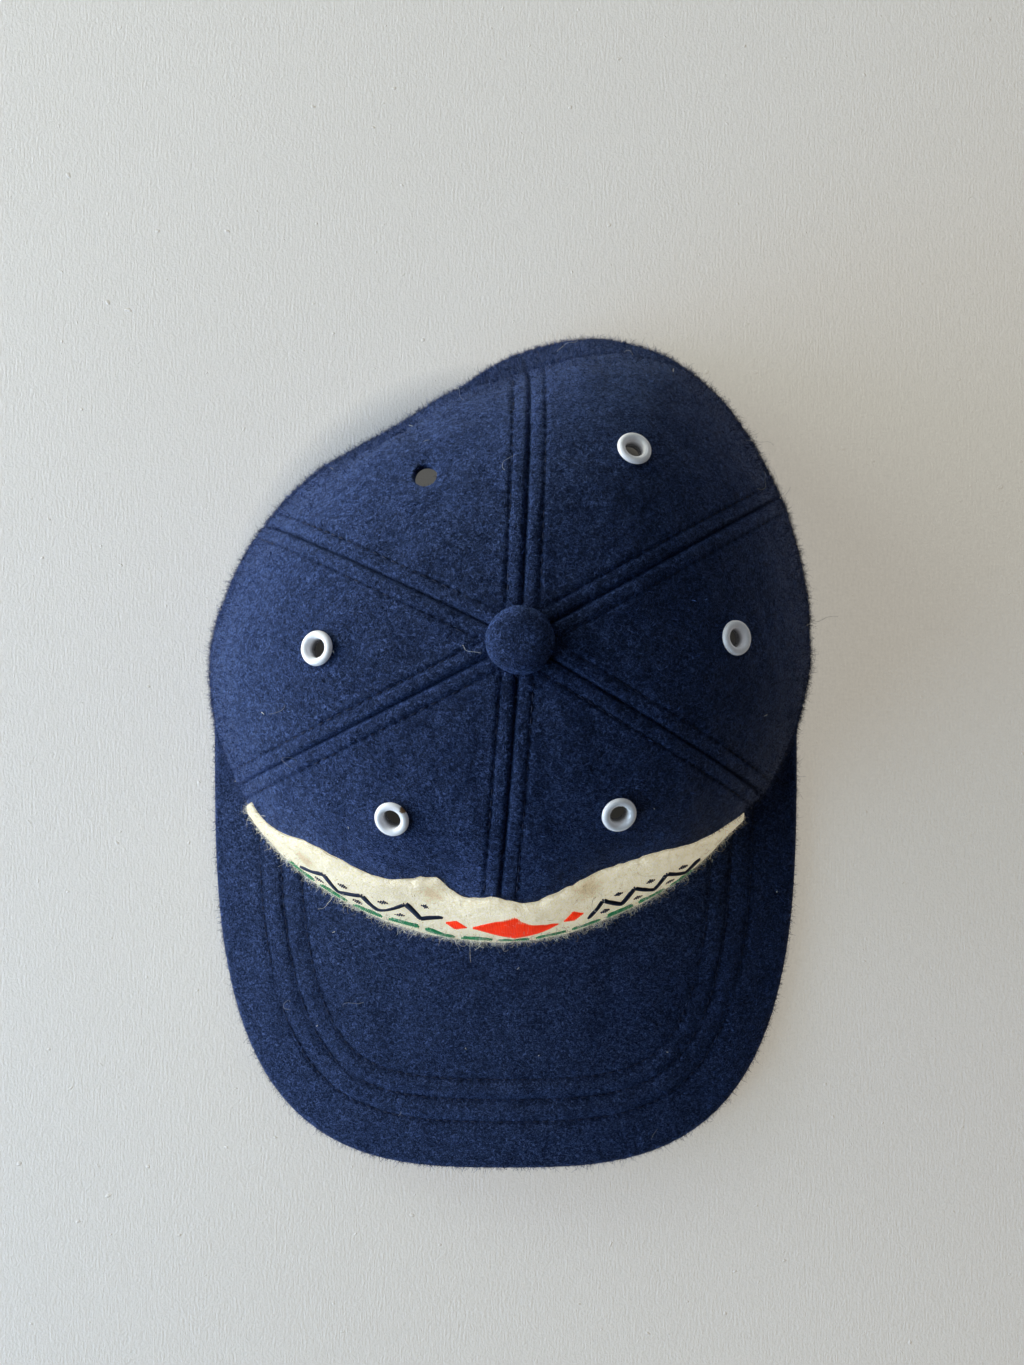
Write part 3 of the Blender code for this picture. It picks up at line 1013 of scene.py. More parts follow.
def add_piece(
    name: str,
    parts: Parts,
    finishes: Sequence[Material],
    stands_for: Sequence[str] = (),
    face_finish: Array | None = None,
    crease_shade: Array | None = None,
) -> Object:
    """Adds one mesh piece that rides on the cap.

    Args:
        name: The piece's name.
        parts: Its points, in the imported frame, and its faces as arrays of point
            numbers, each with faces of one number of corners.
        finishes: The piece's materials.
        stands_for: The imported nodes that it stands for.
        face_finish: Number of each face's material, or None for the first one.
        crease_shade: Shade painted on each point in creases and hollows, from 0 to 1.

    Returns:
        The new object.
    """
    points, faces = parts
    mesh = bpy.data.meshes.new(name)
    corners = np.concatenate([part.ravel() for part in faces]).astype(np.int32)
    counts = np.concatenate([np.full(len(part), part.shape[1]) for part in faces])
    starts = np.concatenate([[0], np.cumsum(counts)[:-1]]).astype(np.int32)
    mesh.vertices.add(len(points))
    mesh.vertices.foreach_set("co", np.asarray(points, np.float32).ravel())
    mesh.loops.add(len(corners))
    mesh.loops.foreach_set("vertex_index", corners)
    mesh.polygons.add(len(starts))
    mesh.polygons.foreach_set("loop_start", starts)
    if face_finish is not None:
        mesh.polygons.foreach_set("material_index", face_finish.astype(np.int32))
    mesh.update(calc_edges=True)
    mesh.validate()
    mesh.shade_smooth()
    # The painted shade is kept on the mesh as an attribute that the finishes read.
    if crease_shade is not None:
        marks = mesh.attributes.new("crease_shade", "FLOAT", "POINT")
        marks.data.foreach_set("value", np.asarray(crease_shade, np.float32).ravel())
    for finish in finishes:
        mesh.materials.append(finish)
    made = add_object(name, mesh)
    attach(made, BODY)
    if stands_for:
        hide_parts(*stands_for)
    log.info("%s: %d triangles", name, int((counts - 2).sum()))
    return made


def grid_faces(rows: int, columns: int, first: int = 0, closed: bool = False) -> Array:
    """Quads of a grid of points that are numbered row by row.

    Args:
        rows: Rows of points.
        columns: Columns of points.
        first: Number of the grid's first point.
        closed: Whether the last column meets the first one.

    Returns:
        One row of four point numbers for each quad.
    """
    row, column = np.meshgrid(
        np.arange(rows - 1), np.arange(columns if closed else columns - 1), indexing="ij"
    )
    after = (column + 1) % columns
    corners = (
        row * columns + column,
        (row + 1) * columns + column,
        (row + 1) * columns + after,
        row * columns + after,
    )
    return first + np.stack([corner.ravel() for corner in corners], axis=-1)


def rim_line(rows: int, columns: int) -> Array:
    """Numbers of a grid's rim points, in order round the rim."""
    grid = np.arange(rows * columns).reshape(rows, columns)
    return np.concatenate([grid[0, :-1], grid[:-1, -1], grid[-1, :0:-1], grid[:0:-1, 0]])


@dataclass
class Skin:
    """Grid of surface points with their outward normals and the shade painted in their creases."""

    points: Array
    normals: Array
    crease_shade: Array

    def part(self, first: int) -> "Skin":
        """The skin's rows from one on, or its last few where the number is negative."""
        return Skin(self.points[first:], self.normals[first:], self.crease_shade[first:])

    def wall(self, inner: Array, step: int) -> tuple[Parts, Array]:
        """Closed wall between this skin and a coarser inner grid.

        Args:
            inner: The inner face's points, at every so many rows and columns.
            step: How many outer rows and columns lie between inner ones.

        Returns:
            Points and arrays of faces of the wall, and the shade painted on its points.
        """
        rows, columns = self.crease_shade.shape
        inner_rows, inner_columns = inner.shape[:2]
        first = rows * columns
        outer_rim = rim_line(rows, columns)
        inner_rim = first + rim_line(inner_rows, inner_columns)
        count = len(inner_rim)
        starts = np.arange(count) * step
        fine = [outer_rim[(starts + part) % len(outer_rim)] for part in range(step + 1)]
        coarse = [inner_rim[(np.arange(count) + 1) % count], inner_rim]
        rim = np.stack(fine + coarse, axis=-1)[:, ::-1]
        inside = grid_faces(inner_rows, inner_columns, first)[:, ::-1]
        points = np.concatenate([self.points.reshape(-1, 3), inner.reshape(-1, 3)])
        crease_shade = np.concatenate([self.crease_shade.ravel(), np.zeros(inner[..., 0].size)])
        return (points, [grid_faces(rows, columns), inside, rim]), crease_shade

    def cell_areas(self) -> Array:
        """Area of each cell of the grid."""
        corner = self.points[:-1, :-1]
        down, across = self.points[1:, :-1] - corner, self.points[:-1, 1:] - corner
        return np.linalg.norm(np.cross(down, across), axis=-1)

    def scatter(self, count: int, draw: np.random.Generator) -> tuple[Array, Array]:
        """Evenly scattered points of the skin, with their normals.

        Args:
            count: How many points.
            draw: Source of the draws.

        Returns:
            Points and normals.
        """
        area = self.cell_areas().ravel()
        cells = draw.choice(area.size, size=count, p=area / area.sum())
        row, column = np.divmod(cells, self.crease_shade.shape[1] - 1)
        high, wide = draw.random((2, count, 1))
        found = []
        for grid in (self.points, self.normals):
            left = between(grid[row, column], grid[row + 1, column], high)
            right = between(grid[row, column + 1], grid[row + 1, column + 1], high)
            found.append(between(left, right, wide))
        return found[0], unit(found[1])


def turned(profile: Sequence[tuple[float, float]], sides: int) -> Parts:
    """Points and faces of a profile of (radius, height) turned round +Z.

    Args:
        profile: The outline; one that starts and ends on the axis makes a solid,
            and any other is a ring.
        sides: Steps round the axis.

    Returns:
        Points and arrays of faces.
    """
    outline = np.array(profile)
    turn = np.arange(sides) * (2 * math.pi / sides)
    solid = outline[0, 0] == 0
    rings = outline[1:-1] if solid else np.concatenate([outline, outline[:1]])
    x, y = (np.outer(rings[:, 0], wave(turn)) for wave in (np.cos, np.sin))
    points = np.stack([x, y, np.repeat(rings[:, 1:], sides, axis=1)], axis=-1)
    count = len(rings)
    faces = [grid_faces(count, sides, closed=True)[:, ::-1]]
    if not solid:
        return points[:-1].reshape(-1, 3), [faces[0] % ((count - 1) * sides)]
    around = np.arange(sides)
    after = (around + 1) % sides
    low, high = count * sides, count * sides + 1
    last = (count - 1) * sides
    faces.append(np.stack([np.full(sides, low), after, around], axis=-1))
    faces.append(np.stack([np.full(sides, high), last + around, last + after], axis=-1))
    ends = [[0, 0, outline[0, 1]], [0, 0, outline[-1, 1]]]
    return np.concatenate([points.reshape(-1, 3), ends]), faces


def tubes(centres: Array, ups: Array, radii: Array, sides: int) -> Parts:
    """Thin closed tubes, all with as many stations.

    Args:
        centres: Centre lines, as tubes by stations by three.
        ups: A direction across each tube at each station.
        radii: Radius at each station, for all tubes or for each.
        sides: Sides of a tube.

    Returns:
        Points and arrays of faces.
    """
    count, stations = centres.shape[:2]
    ahead = unit(np.gradient(centres, axis=1))
    side = unit(np.cross(ahead, ups))
    up = np.cross(side, ahead)
    turn = np.arange(sides) * (2 * math.pi / sides)
    wide = np.broadcast_to(radii, (count, stations))[..., None, None]
    ring = np.cos(turn)[:, None] * up[:, :, None] + np.sin(turn)[:, None] * side[:, :, None]
    points = centres[:, :, None] + wide * ring
    size = stations * sides
    firsts = (np.arange(count) * size)[:, None, None]
    around = grid_faces(stations, sides, closed=True)[None] + firsts
    cap = np.arange(sides)
    starts = cap[None] + firsts[:, 0]
    ends = cap[::-1][None] + (size - sides) + firsts[:, 0]
    return points.reshape(-1, 3), [around.reshape(-1, 4), starts, ends]


@dataclass(frozen=True)
class FibreCut:
    """Length, thickness and lie of a kind of loose fibre."""

    short: float
    long: float
    width: float
    flattest: float
    steepest: float
    curl: float
    links: int = 2


def fibre_ribbons(
    roots: Array, normals: Array, cut: FibreCut, draw: np.random.Generator
) -> Parts:
    """Tapered ribbons that grow from a skin and end in a point.

    Args:
        roots: Where the fibres leave the skin.
        normals: The skin's normals there.
        cut: The kind of fibre.
        draw: Source of the draws.

    Returns:
        Points and arrays of faces: quads, then the tips' triangles.
    """
    count = len(roots)
    length = draw.uniform(cut.short, cut.long, (count, 1)) * draw.uniform(0.5, 1, (count, 1))
    flat = unit(np.cross(normals, draw.normal(size=(count, 3))))
    rise = np.radians(draw.uniform(cut.flattest, cut.steepest, (count, 1)))
    heading = np.cos(rise) * flat + np.sin(rise) * normals
    side = unit(np.cross(heading, draw.normal(size=(count, 3))))
    width = cut.width * draw.uniform(0.6, 1.1, (count, 1))
    here = roots - 0.12 * MM * normals
    rows = []
    for link in range(cut.links):
        taper = width * (1 - 0.75 * link / cut.links) / 2
        rows += [here - taper * side, here + taper * side]
        here = here + heading * length / cut.links
        turn = draw.normal(size=(count, 3)) * cut.curl
        heading = unit(heading + turn - 0.15 * cut.curl * normals)
        side = unit(side - np.sum(side * heading, axis=-1, keepdims=True) * heading)
    rows.append(here)
    points = np.stack(rows, axis=1)
    points[..., 2] = np.maximum(points[..., 2], 0.15 * MM)
    size = 2 * cut.links + 1
    firsts = (np.arange(count) * size)[:, None]
    quads = [
        firsts + np.array([2 * link, 2 * link + 1, 2 * link + 3, 2 * link + 2])
        for link in range(cut.links - 1)
    ]
    tips = firsts + np.array([size - 3, size - 2, size - 1])
    quads = np.concatenate(quads) if quads else np.zeros((0, 4), int)
    return points.reshape(-1, 3), [quads, tips]


# Crown


@dataclass(frozen=True)
class SeamProfile:
    """Cross-section of a crown seam: a groove, two padded ridges and two sewn rows."""

    groove_depth: float = 0.95 * MM
    groove_width: float = 0.60 * MM
    ridge_height: float = 0.22 * MM
    ridge_middle: float = 2.2 * MM
    ridge_width: float = 1.7 * MM
    row_distance: float = 4.2 * MM
    row_depth: float = 0.48 * MM
    row_width: float = 0.52 * MM
    puff_height: float = 0.10 * MM
    puff_middle: float = 5.6 * MM
    puff_width: float = 1.1 * MM
    pucker_height: float = 0.07 * MM
    pucker_width: float = 1.5 * MM
    groove_shade_width: float = 0.42 * MM
    row_shade_width: float = 0.48 * MM
    turning_thickness: float = 0.55 * MM
    turning_width: float = 6.5 * MM
    pitch: float = 3.0 * MM
    stitch: float = 2.05 * MM
    thread_depth_share: float = 0.72
    thread_lift: float = 0.02 * MM
    rows_from_radius: float = 7.6 * MM
    faded: float = 0.45

    def turning(self, away: Array) -> Array:
        """Extra thickness of the turned-in edges, inside the crown."""
        return self.turning_thickness * smooth_step(self.turning_width - away, 0, 1.2 * MM)

    def strength(self, down: Array) -> Array:
        """Share of the full relief, which flattens towards the hem."""
        return between(1.0, self.faded, smooth_step(down, 0.45, 0.80))

    def wave(self, along: Array) -> Array:
        """Wave between -1 and 1 that repeats with every stitch."""
        return np.cos(along * (2 * math.pi / self.pitch))

    def relief(self, away: Array, along: Array) -> Array:
        """Adds up the seam's relief.

        Args:
            away: Distance from the seam.
            along: Distance along it.

        Returns:
            Height of the wool.
        """
        wave = self.wave(along)
        ridge = self.ridge_height * hump(away - self.ridge_middle, self.ridge_width)
        groove = self.groove_depth * hump(away, self.groove_width)
        row = hump(away - self.row_distance, self.row_width)
        puff = self.puff_height * hump(away - self.puff_middle, self.puff_width)
        pucker = self.pucker_height * wave * hump(away - self.row_distance, self.pucker_width)
        return ridge - groove - self.row_depth * row * (0.75 - 0.25 * wave) + puff + pucker

    def crease_shade(self, away: Array, along: Array) -> Array:
        """How much shade is painted on the wool in the groove and along the sewn rows, from 0 to 1.
        """
        row = hump(away - self.row_distance, self.row_shade_width) * (0.60 - 0.38 * self.wave(along))
        return np.clip(hump(away, self.groove_shade_width) + row, 0, 1)


class Vent(Enum):
    """How a panel's vent hole is finished."""

    EYELET = "eyelet"
    BARE = "bare"


@dataclass
class CrownPanel:
    """One wool panel of the crown, with its seams' reliefs and its vent hole."""

    shape: CapShape
    seams: SeamProfile
    name: str
    seam_from: float
    seam_to: float
    vent_angle: float
    vent_down: float
    vent: Vent = Vent.EYELET
    rows: int = 149
    even_columns: int = 22
    inner_step: int = 2
    squeeze: float = 1.15
    hole_radius: float = 3.0 * MM
    bare_radius: float = 3.1 * MM
    bare_stretch: float = 1.3
    bare_margin: float = 0.5 * MM
    flange_radius: float = 4.75 * MM
    seat_inside: float = 3.6 * MM
    seat_outside: float = 6.4 * MM
    seat_height: float = 0.22 * MM
    slump_angle: float = 190.0
    slump_width: float = 30.0
    slump_shade: float = 0.85
    near_columns: tuple[float, ...] = (
        0.0, 0.25, 0.5, 0.8, 1.15, 1.6, 2.1, 2.6, 3.1, 3.5, 3.8, 4.0, 4.2, 4.4, 4.6,
        4.9, 5.4, 6.1,
    )
    skin: Skin = field(init=False)

    def stations(self) -> tuple[Array, Array]:
        """Spaces the grid's points, closer together near the seams.

        Returns:
            Angle and down of each point.
        """
        shape = self.shape
        middle = (self.seam_from + self.seam_to) / 2
        start = float(shape.apex_down(np.float64(middle)))
        down = np.linspace(start, 1.0, self.rows)[:, None]
        near = np.array(self.near_columns) * MM
        half = math.radians(self.seam_to - self.seam_from) / 2
        width = half * shape.radius(np.full_like(down, middle), down)
        share = np.minimum(1.0, width / (self.squeeze * near[-1]))
        sides = []
        for seam, sign in ((self.seam_from, 1), (self.seam_to, -1)):
            reach = np.maximum(
                shape.apex_hole_radius, shape.radius(np.full_like(down, seam), down)
            )
            close = seam + sign * np.degrees(near * share / reach)
            parts = np.linspace(0, 1, self.even_columns + 1)[1:]
            rest = between(close[:, -1:], middle, parts)
            sides.append(np.concatenate([close, rest], axis=1))
        angle = np.concatenate([sides[0], sides[1][:, -2::-1]], axis=1)
        return angle, np.broadcast_to(down, angle.shape)

    def vent_place(self) -> tuple[Vector, Vector]:
        """Middle of the vent on the outer face, and the normal there."""
        angle, down = np.float64(self.vent_angle), np.float64(self.vent_down)
        return Vector(self.shape.face(angle, down)), Vector(self.shape.normal(angle, down))

    def seam_distance(self, angle: Array, down: Array) -> Array:
        """Distance from the nearer of the panel's two seams."""
        turn = np.minimum(angle - self.seam_from, self.seam_to - angle)
        return np.radians(turn) * self.shape.radius(angle, down)

    def under_felt(self, angle: Array, down: Array) -> Array:
        """Tells the wool that the felt covers from the rest.

        Args:
            angle: Angles round the crown.
            down: Shares down from the apex.

        Returns:
            1 under the felt panel and 0 above it.
        """
        signed = self.shape.signed(angle)
        edge = self.shape.felt_edge(signed)
        inside = smooth_step(np.minimum(signed - FELT_LEFT, FELT_RIGHT - signed), 0, 2)
        return inside * smooth_step(down - edge, -0.010, 0.010)

    def relief(self, angle: Array, down: Array, face: Array) -> tuple[Array, Array]:
        """Works out the seams' relief, the soft dents and the seat of the vent.

        Args:
            angle: Angles round the crown.
            down: Shares down from the apex.
            face: Points of the plain face there.

        Returns:
            Height of the wool above the plain face, and the shade painted on it.
        """
        away = self.seam_distance(angle, down)
        along = run_lengths(face)
        covered = self.under_felt(angle, down)
        dents = 0.22 * Ripples(7, 14 * MM).at(face) + 0.10 * Ripples(8, 5 * MM).at(face)
        hem = smooth_step(1 - down, 0.0, 0.03)
        strength = self.seams.strength(down)
        height = strength * self.seams.relief(away, along) + dents * MM * hem
        centre, _ = self.vent_place()
        ring = np.linalg.norm(face - np.array(centre), axis=-1)
        if self.vent is Vent.EYELET:
            seat = 1 - smooth_step(ring, self.seat_inside, self.seat_outside)
            height = between(height, self.seat_height, seat)
        else:
            height = height - 0.35 * MM * hump(ring, 3.0 * MM)
        height = between(height, np.minimum(height, 0.1 * MM) * 0.5, covered)
        # Painted shade in the seam's groove and along its sewn rows.
        crease_shade = strength * self.seams.crease_shade(away, along)
        slump = hump(self.shape.signed(angle - self.slump_angle), self.slump_width)
        shade = self.slump_shade * slump * smooth_step(down, 0.60, 0.72)
        crease_shade = np.maximum(crease_shade, shade)
        # Painted contact shade in a narrow ring round the eyelet's flange.
        if self.vent is Vent.EYELET:
            crease_shade = np.maximum(crease_shade, 0.55 * hump(ring - 4.7 * MM, 0.5 * MM))
        return height, crease_shade * (1 - covered)

    def build(self, wool: Material) -> None:
        """Builds the panel and cuts its vent hole.

        Args:
            wool: Its finish.
        """
        shape, step = self.shape, self.inner_step
        angle, down = self.stations()
        face, normal = shape.face(angle, down), shape.normal(angle, down)
        height, crease_shade = self.relief(angle, down, face)
        points = face + height[..., None] * normal
        away = self.seam_distance(angle, down)[::step, ::step]
        thickness = (shape.panel_wall + self.seams.turning(away))[..., None]
        inner = face[::step, ::step] - thickness * normal[::step, ::step]
        shape.level_hem(points, angle)
        shape.level_hem(inner, angle[::step, ::step])
        self.skin = Skin(points, normal, crease_shade)
        parts, creases = self.skin.wall(inner, step)
        name, nodes = f"wool_{self.name}", [f"crown_{self.name}"]
        self.cut_vent(add_piece(name, parts, [wool], nodes, crease_shade=creases))

    def uncovered(self, roots: Array) -> Array:
        """Tests which points of the panel are clear of the vent and the felt.

        Args:
            roots: The points.

        Returns:
            Whether each is clear.
        """
        open_radius = self.bare_radius + self.bare_margin
        reach = self.flange_radius if self.vent is Vent.EYELET else open_radius
        far = np.linalg.norm(roots - np.array(self.vent_place()[0]), axis=-1) > reach
        angle, _ = self.shape.around(roots)
        inside = (angle > FELT_LEFT) & (angle < FELT_RIGHT)
        height = self.shape.face(angle, self.shape.felt_edge(angle))[:, 2]
        return far & ~(inside & (roots[:, 2] < height))

    def cut_vent(self, made: Object) -> None:
        """Cuts the round vent hole through the panel.

        Args:
            made: The built panel.
        """
        radius = self.hole_radius if self.vent is Vent.EYELET else self.bare_radius
        half = 4 * self.shape.panel_wall
        outline = ((0, -half), (radius, -half), (radius, half), (0, half))
        points, faces = turned(outline, 40)
        mesh = bpy.data.meshes.new("vent_cutter")
        mesh.from_pydata(points.tolist(), [], [f.tolist() for part in faces for f in part])
        cutter = add_object("vent_cutter", mesh)
        centre, normal = self.vent_place()
        turn = normal.to_track_quat("Z", "Y").to_matrix().to_4x4()
        stretch = self.bare_stretch if self.vent is Vent.BARE else 1.0
        cutter.matrix_world = (
            Matrix.Translation(centre) @ turn @ Matrix.Diagonal((1, stretch, 1, 1))
        )
        cut = made.modifiers.new("vent", "BOOLEAN")
        cut.operation, cut.object = "DIFFERENCE", cutter
        bpy.context.view_layer.update()
        graph = bpy.context.evaluated_depsgraph_get()
        whole = made.data
        made.data = bpy.data.meshes.new_from_object(made.evaluated_get(graph))
        made.modifiers.clear()
        bpy.data.objects.remove(cutter)
        bpy.data.meshes.remove(mesh)
        bpy.data.meshes.remove(whole)
        made.data.name = made.name


class PanelCut(NamedTuple):
    """A panel's place between its seams, and its vent's."""

    name: str
    seam_from: float
    seam_to: float
    vent_angle: float
    vent_down: float
    vent: Vent = Vent.EYELET


CUTS = (
    PanelCut("front_right", -4, 59, 30, 0.312),
    PanelCut("side_right", 59, 119, 91, 0.345),
    PanelCut("rear_right", 119, 177, 149, 0.295),
    PanelCut("rear_left", 177, 244, 209, 0.350, Vent.BARE),
    PanelCut("side_left", 244, 297, 272, 0.300),
    PanelCut("front_left", 297, 356, 324.5, 0.323),
)


@dataclass(frozen=True)
class Eyelet:
    """Enamelled metal eyelet with a rolled flange and an open barrel."""

    radius: float = 4.55 * MM
    bore: float = 2.40 * MM
    metal: float = 0.40 * MM
    roll: float = 1.25 * MM
    seat: float = 0.30 * MM
    back_radius: float = 3.90 * MM
    back_gap: float = 0.70 * MM
    sides: int = 64
    chip_towards: Place = (0.75, 0.66, 0.0)
    chip_reach: float = 4.5 * MM
    chip_height: float = 1.0 * MM

    def chip(self, panel: CrownPanel) -> Vector:
        """Finds the middle of the chip, on the outer edge of the flange.

        Args:
            panel: The panel that carries the eyelet.

        Returns:
            The place.
        """
        centre, normal = panel.vent_place()
        across = normal.cross(Vector(self.chip_towards)).cross(normal).normalized()
        return centre + self.chip_reach * across + self.chip_height * normal

    def outline(self, wall: float) -> list[tuple[float, float]]:
        """Draws the section from the seat round the flange and down the barrel.

        Args:
            wall: Thickness of the panel.

        Returns:
            Radius and height of each corner.
        """
        middle = (self.bore + self.radius) / 2
        half = (self.radius - self.bore) / 2
        outline = [(self.bore + self.metal, self.seat), (self.radius - 0.2 * MM, self.seat)]
        for step in range(15):
            turn = math.pi * (step - 0.5) / 14 if step else 0.0
            lift = self.roll * math.sin(max(turn, 0.10)) ** 0.72
            outline.append((middle + half * math.cos(turn), self.seat + lift))
        back = -wall - self.back_gap
        outline += [
            (self.bore, self.seat),
            (self.bore, back * 0.5),
            (self.bore, back - self.metal * 0.6),
            (self.bore + 0.25 * MM, back - self.metal),
            (self.back_radius - 0.15 * MM, back - self.metal),
            (self.back_radius, back - self.metal * 0.5),
            (self.back_radius - 0.15 * MM, back),
            (self.bore + self.metal, back),
        ]
        return outline

    def build(self, panel: CrownPanel, enamel: Material) -> None:
        """Builds the eyelet in a panel's vent hole.

        Args:
            panel: The panel that carries it.
            enamel: Its finish.
        """
        points, faces = turned(self.outline(panel.shape.panel_wall), self.sides)
        centre, normal = panel.vent_place()
        turn = normal.to_track_quat("Z", "Y").to_matrix()
        placed = points @ np.array(turn).T + np.array(centre)
        name = f"eyelet_{panel.name}"
        # Painted shade down inside the barrel, handed on as the crease attribute.
        inside = np.hypot(points[:, 0], points[:, 1]) < self.bore + 0.1 * MM
        deep = inside * smooth_step(self.seat - points[:, 2], 0.0, 1.8 * MM)
        parts = (placed, faces)
        add_piece(f"enamel_{name}", parts, [enamel], [name], crease_shade=deep)


@dataclass
class Button:
    """Wool-covered button over the apex, with a shank and a washer inside."""

    shape: CapShape
    radius: float = 8.5 * MM
    height: float = 5.2 * MM
    shank: float = 2.4 * MM
    washer: float = 6.2 * MM
    washer_thickness: float = 1.0 * MM
    sides: int = 72
    skin: Skin = field(init=False)

    def build(self, wool: Material) -> None:
        """Builds the button, and keeps the skin of its dome for the nap.

        Args:
            wool: Its finish.
        """
        shape = self.shape
        seat = shape.crown_height - 0.2 * MM
        shank_end = shape.crown_height - shape.panel_wall - shape.piece_gap
        washer_end = shank_end - self.washer_thickness
        middle = seat + 0.42 * self.height
        lowest = 0.95
        rise, fall = seat + self.height - middle + 0.3 * MM, middle - seat
        dome = []
        for turn in np.linspace(-lowest, math.pi / 2 - 0.06, 20):
            up, down = rise * math.sin(turn), fall * math.sin(turn) / math.sin(lowest)
            lift = up if turn > 0 else down
            dome.append((self.radius * math.cos(turn) ** 0.62, middle + lift))
        outline = [
            (0, washer_end),
            (self.washer, washer_end),
            (self.washer, shank_end),
            (self.shank, shank_end),
            (self.shank, seat),
            *dome,
            (0, dome[-1][1] + 0.02 * MM),
        ]
        points, faces = turned(outline, self.sides)
        dents = Ripples(11, 7 * MM).at(points) * smooth_step(points[:, 2], seat, middle)
        points = points * (1 + 0.018 * dents[:, None] * np.array([1, 1, 0]))
        points[:, 2] += 0.10 * MM * dents
        points += np.array([shape.crown_sway, shape.plan_shift, 0])
        add_piece("wool_button", (points, faces), [wool], ["button"])
        rings = points[:-2].reshape(-1, self.sides, 3)[-len(dome) :]
        rings = np.concatenate([rings, rings[:, :1]], axis=1)[::-1]
        centre = np.array([shape.crown_sway, shape.plan_shift, seat])
        self.skin = Skin(rings, unit(rings - centre), np.zeros(rings.shape[:2]))


# Felt panel and its embroidery


class Stain(NamedTuple):
    """A brown stain on the felt, at a distance below its upper edge."""

    angle: float
    below: float
    reach: float


STAINS = (
    Stain(-19.0, 4.5 * MM, 4.2 * MM),
    Stain(-44.0, 9.0 * MM, 4.5 * MM),
    Stain(16.0, 3.0 * MM, 5.5 * MM),
)


@dataclass
class FrontFelt:
    """Cream felt over the lower front, nearly seam to seam and down to the brim."""

    shape: CapShape
    left: float = FELT_LEFT
    right: float = FELT_RIGHT
    gap: float = 0.4 * MM
    wall: float = 1.3 * MM
    rows: int = 65
    columns: int = 193
    inner_step: int = 2
    edge_waver: float = 0.0022
    waver_turn: float = 2.2
    rim: float = 2.2 * MM
    skin: Skin = field(init=False)

    def down_at(self, angle: Array, below: Array) -> Array:
        """Finds points by their distance below the felt's upper edge.

        Args:
            angle: Angles round the crown.
            below: Distances along the face.

        Returns:
            Share down from the apex of each.
        """
        angle, below = np.broadcast_arrays(angle, below)
        found = np.empty(angle.size)
        shares = np.linspace(0, 1, 60)
        for place, (turn, wanted) in enumerate(zip(angle.ravel(), below.ravel())):
            edge = float(self.shape.felt_edge(np.float64(turn)))
            downs = edge + (1 - edge) * shares
            line = self.shape.face(np.full_like(downs, turn), downs)
            found[place] = np.interp(wanted, run_lengths(line), downs)
        return found.reshape(angle.shape)

    def outside(self, angle: Array, down: Array, lift: Array) -> Array:
        """Points at a height above the felt's outer face."""
        return self.shape.offset(angle, down, self.gap + self.wall + lift)

    def stains(self) -> tuple[tuple[Vector, float], ...]:
        """Places the stains on the felt's face.

        Returns:
            Middle and reach of each.
        """
        found = []
        for stain in STAINS:
            turn = np.float64(stain.angle)
            down = self.down_at(turn, np.float64(stain.below))
            found.append((Vector(self.outside(turn, down, np.float64(0.0))), stain.reach))
        return tuple(found)

    def build(self, felt: Material) -> None:
        """Builds the felt panel.

        Args:
            felt: Its finish.
        """
        shape, step = self.shape, self.inner_step
        line = np.linspace(self.left, self.right, self.columns)
        turns = np.stack([line, np.zeros_like(line), np.zeros_like(line)], axis=-1)
        waver = Ripples(23, self.waver_turn).at(turns)
        edge = shape.felt_edge(line) + self.edge_waver * waver
        fall = np.linspace(0, 1, self.rows)[:, None] ** 1.15
        down = edge + (1 - edge) * fall
        angle = np.broadcast_to(line, down.shape)
        face, normal = shape.face(angle, down), shape.normal(angle, down)
        below = run_lengths(face)
        reach = shape.radius(angle, down)
        side = np.radians(np.minimum(angle - self.left, self.right - angle)) * reach
        inset = np.minimum(below, side)
        taper = np.sqrt(np.clip(inset / self.rim, 0, 1)) * 0.95 + 0.05
        hem = smooth_step(1 - down, 0.0, 0.04)
        soft = 0.13 * Ripples(21, 9 * MM).at(face) + 0.07 * Ripples(22, 3.5 * MM).at(face)
        height = self.gap + self.wall * taper + soft * hem * MM
        points = face + height[..., None] * normal
        inner = (face + (self.gap * 0.6) * normal)[::step, ::step].copy()
        shape.level_hem(points, angle)
        shape.level_hem(inner, angle[::step, ::step])
        self.skin = Skin(points, normal, np.zeros_like(height))
        parts, _ = self.skin.wall(inner, step)
        add_piece("cream_front_panel", parts, [felt], ["front_felt_panel"])


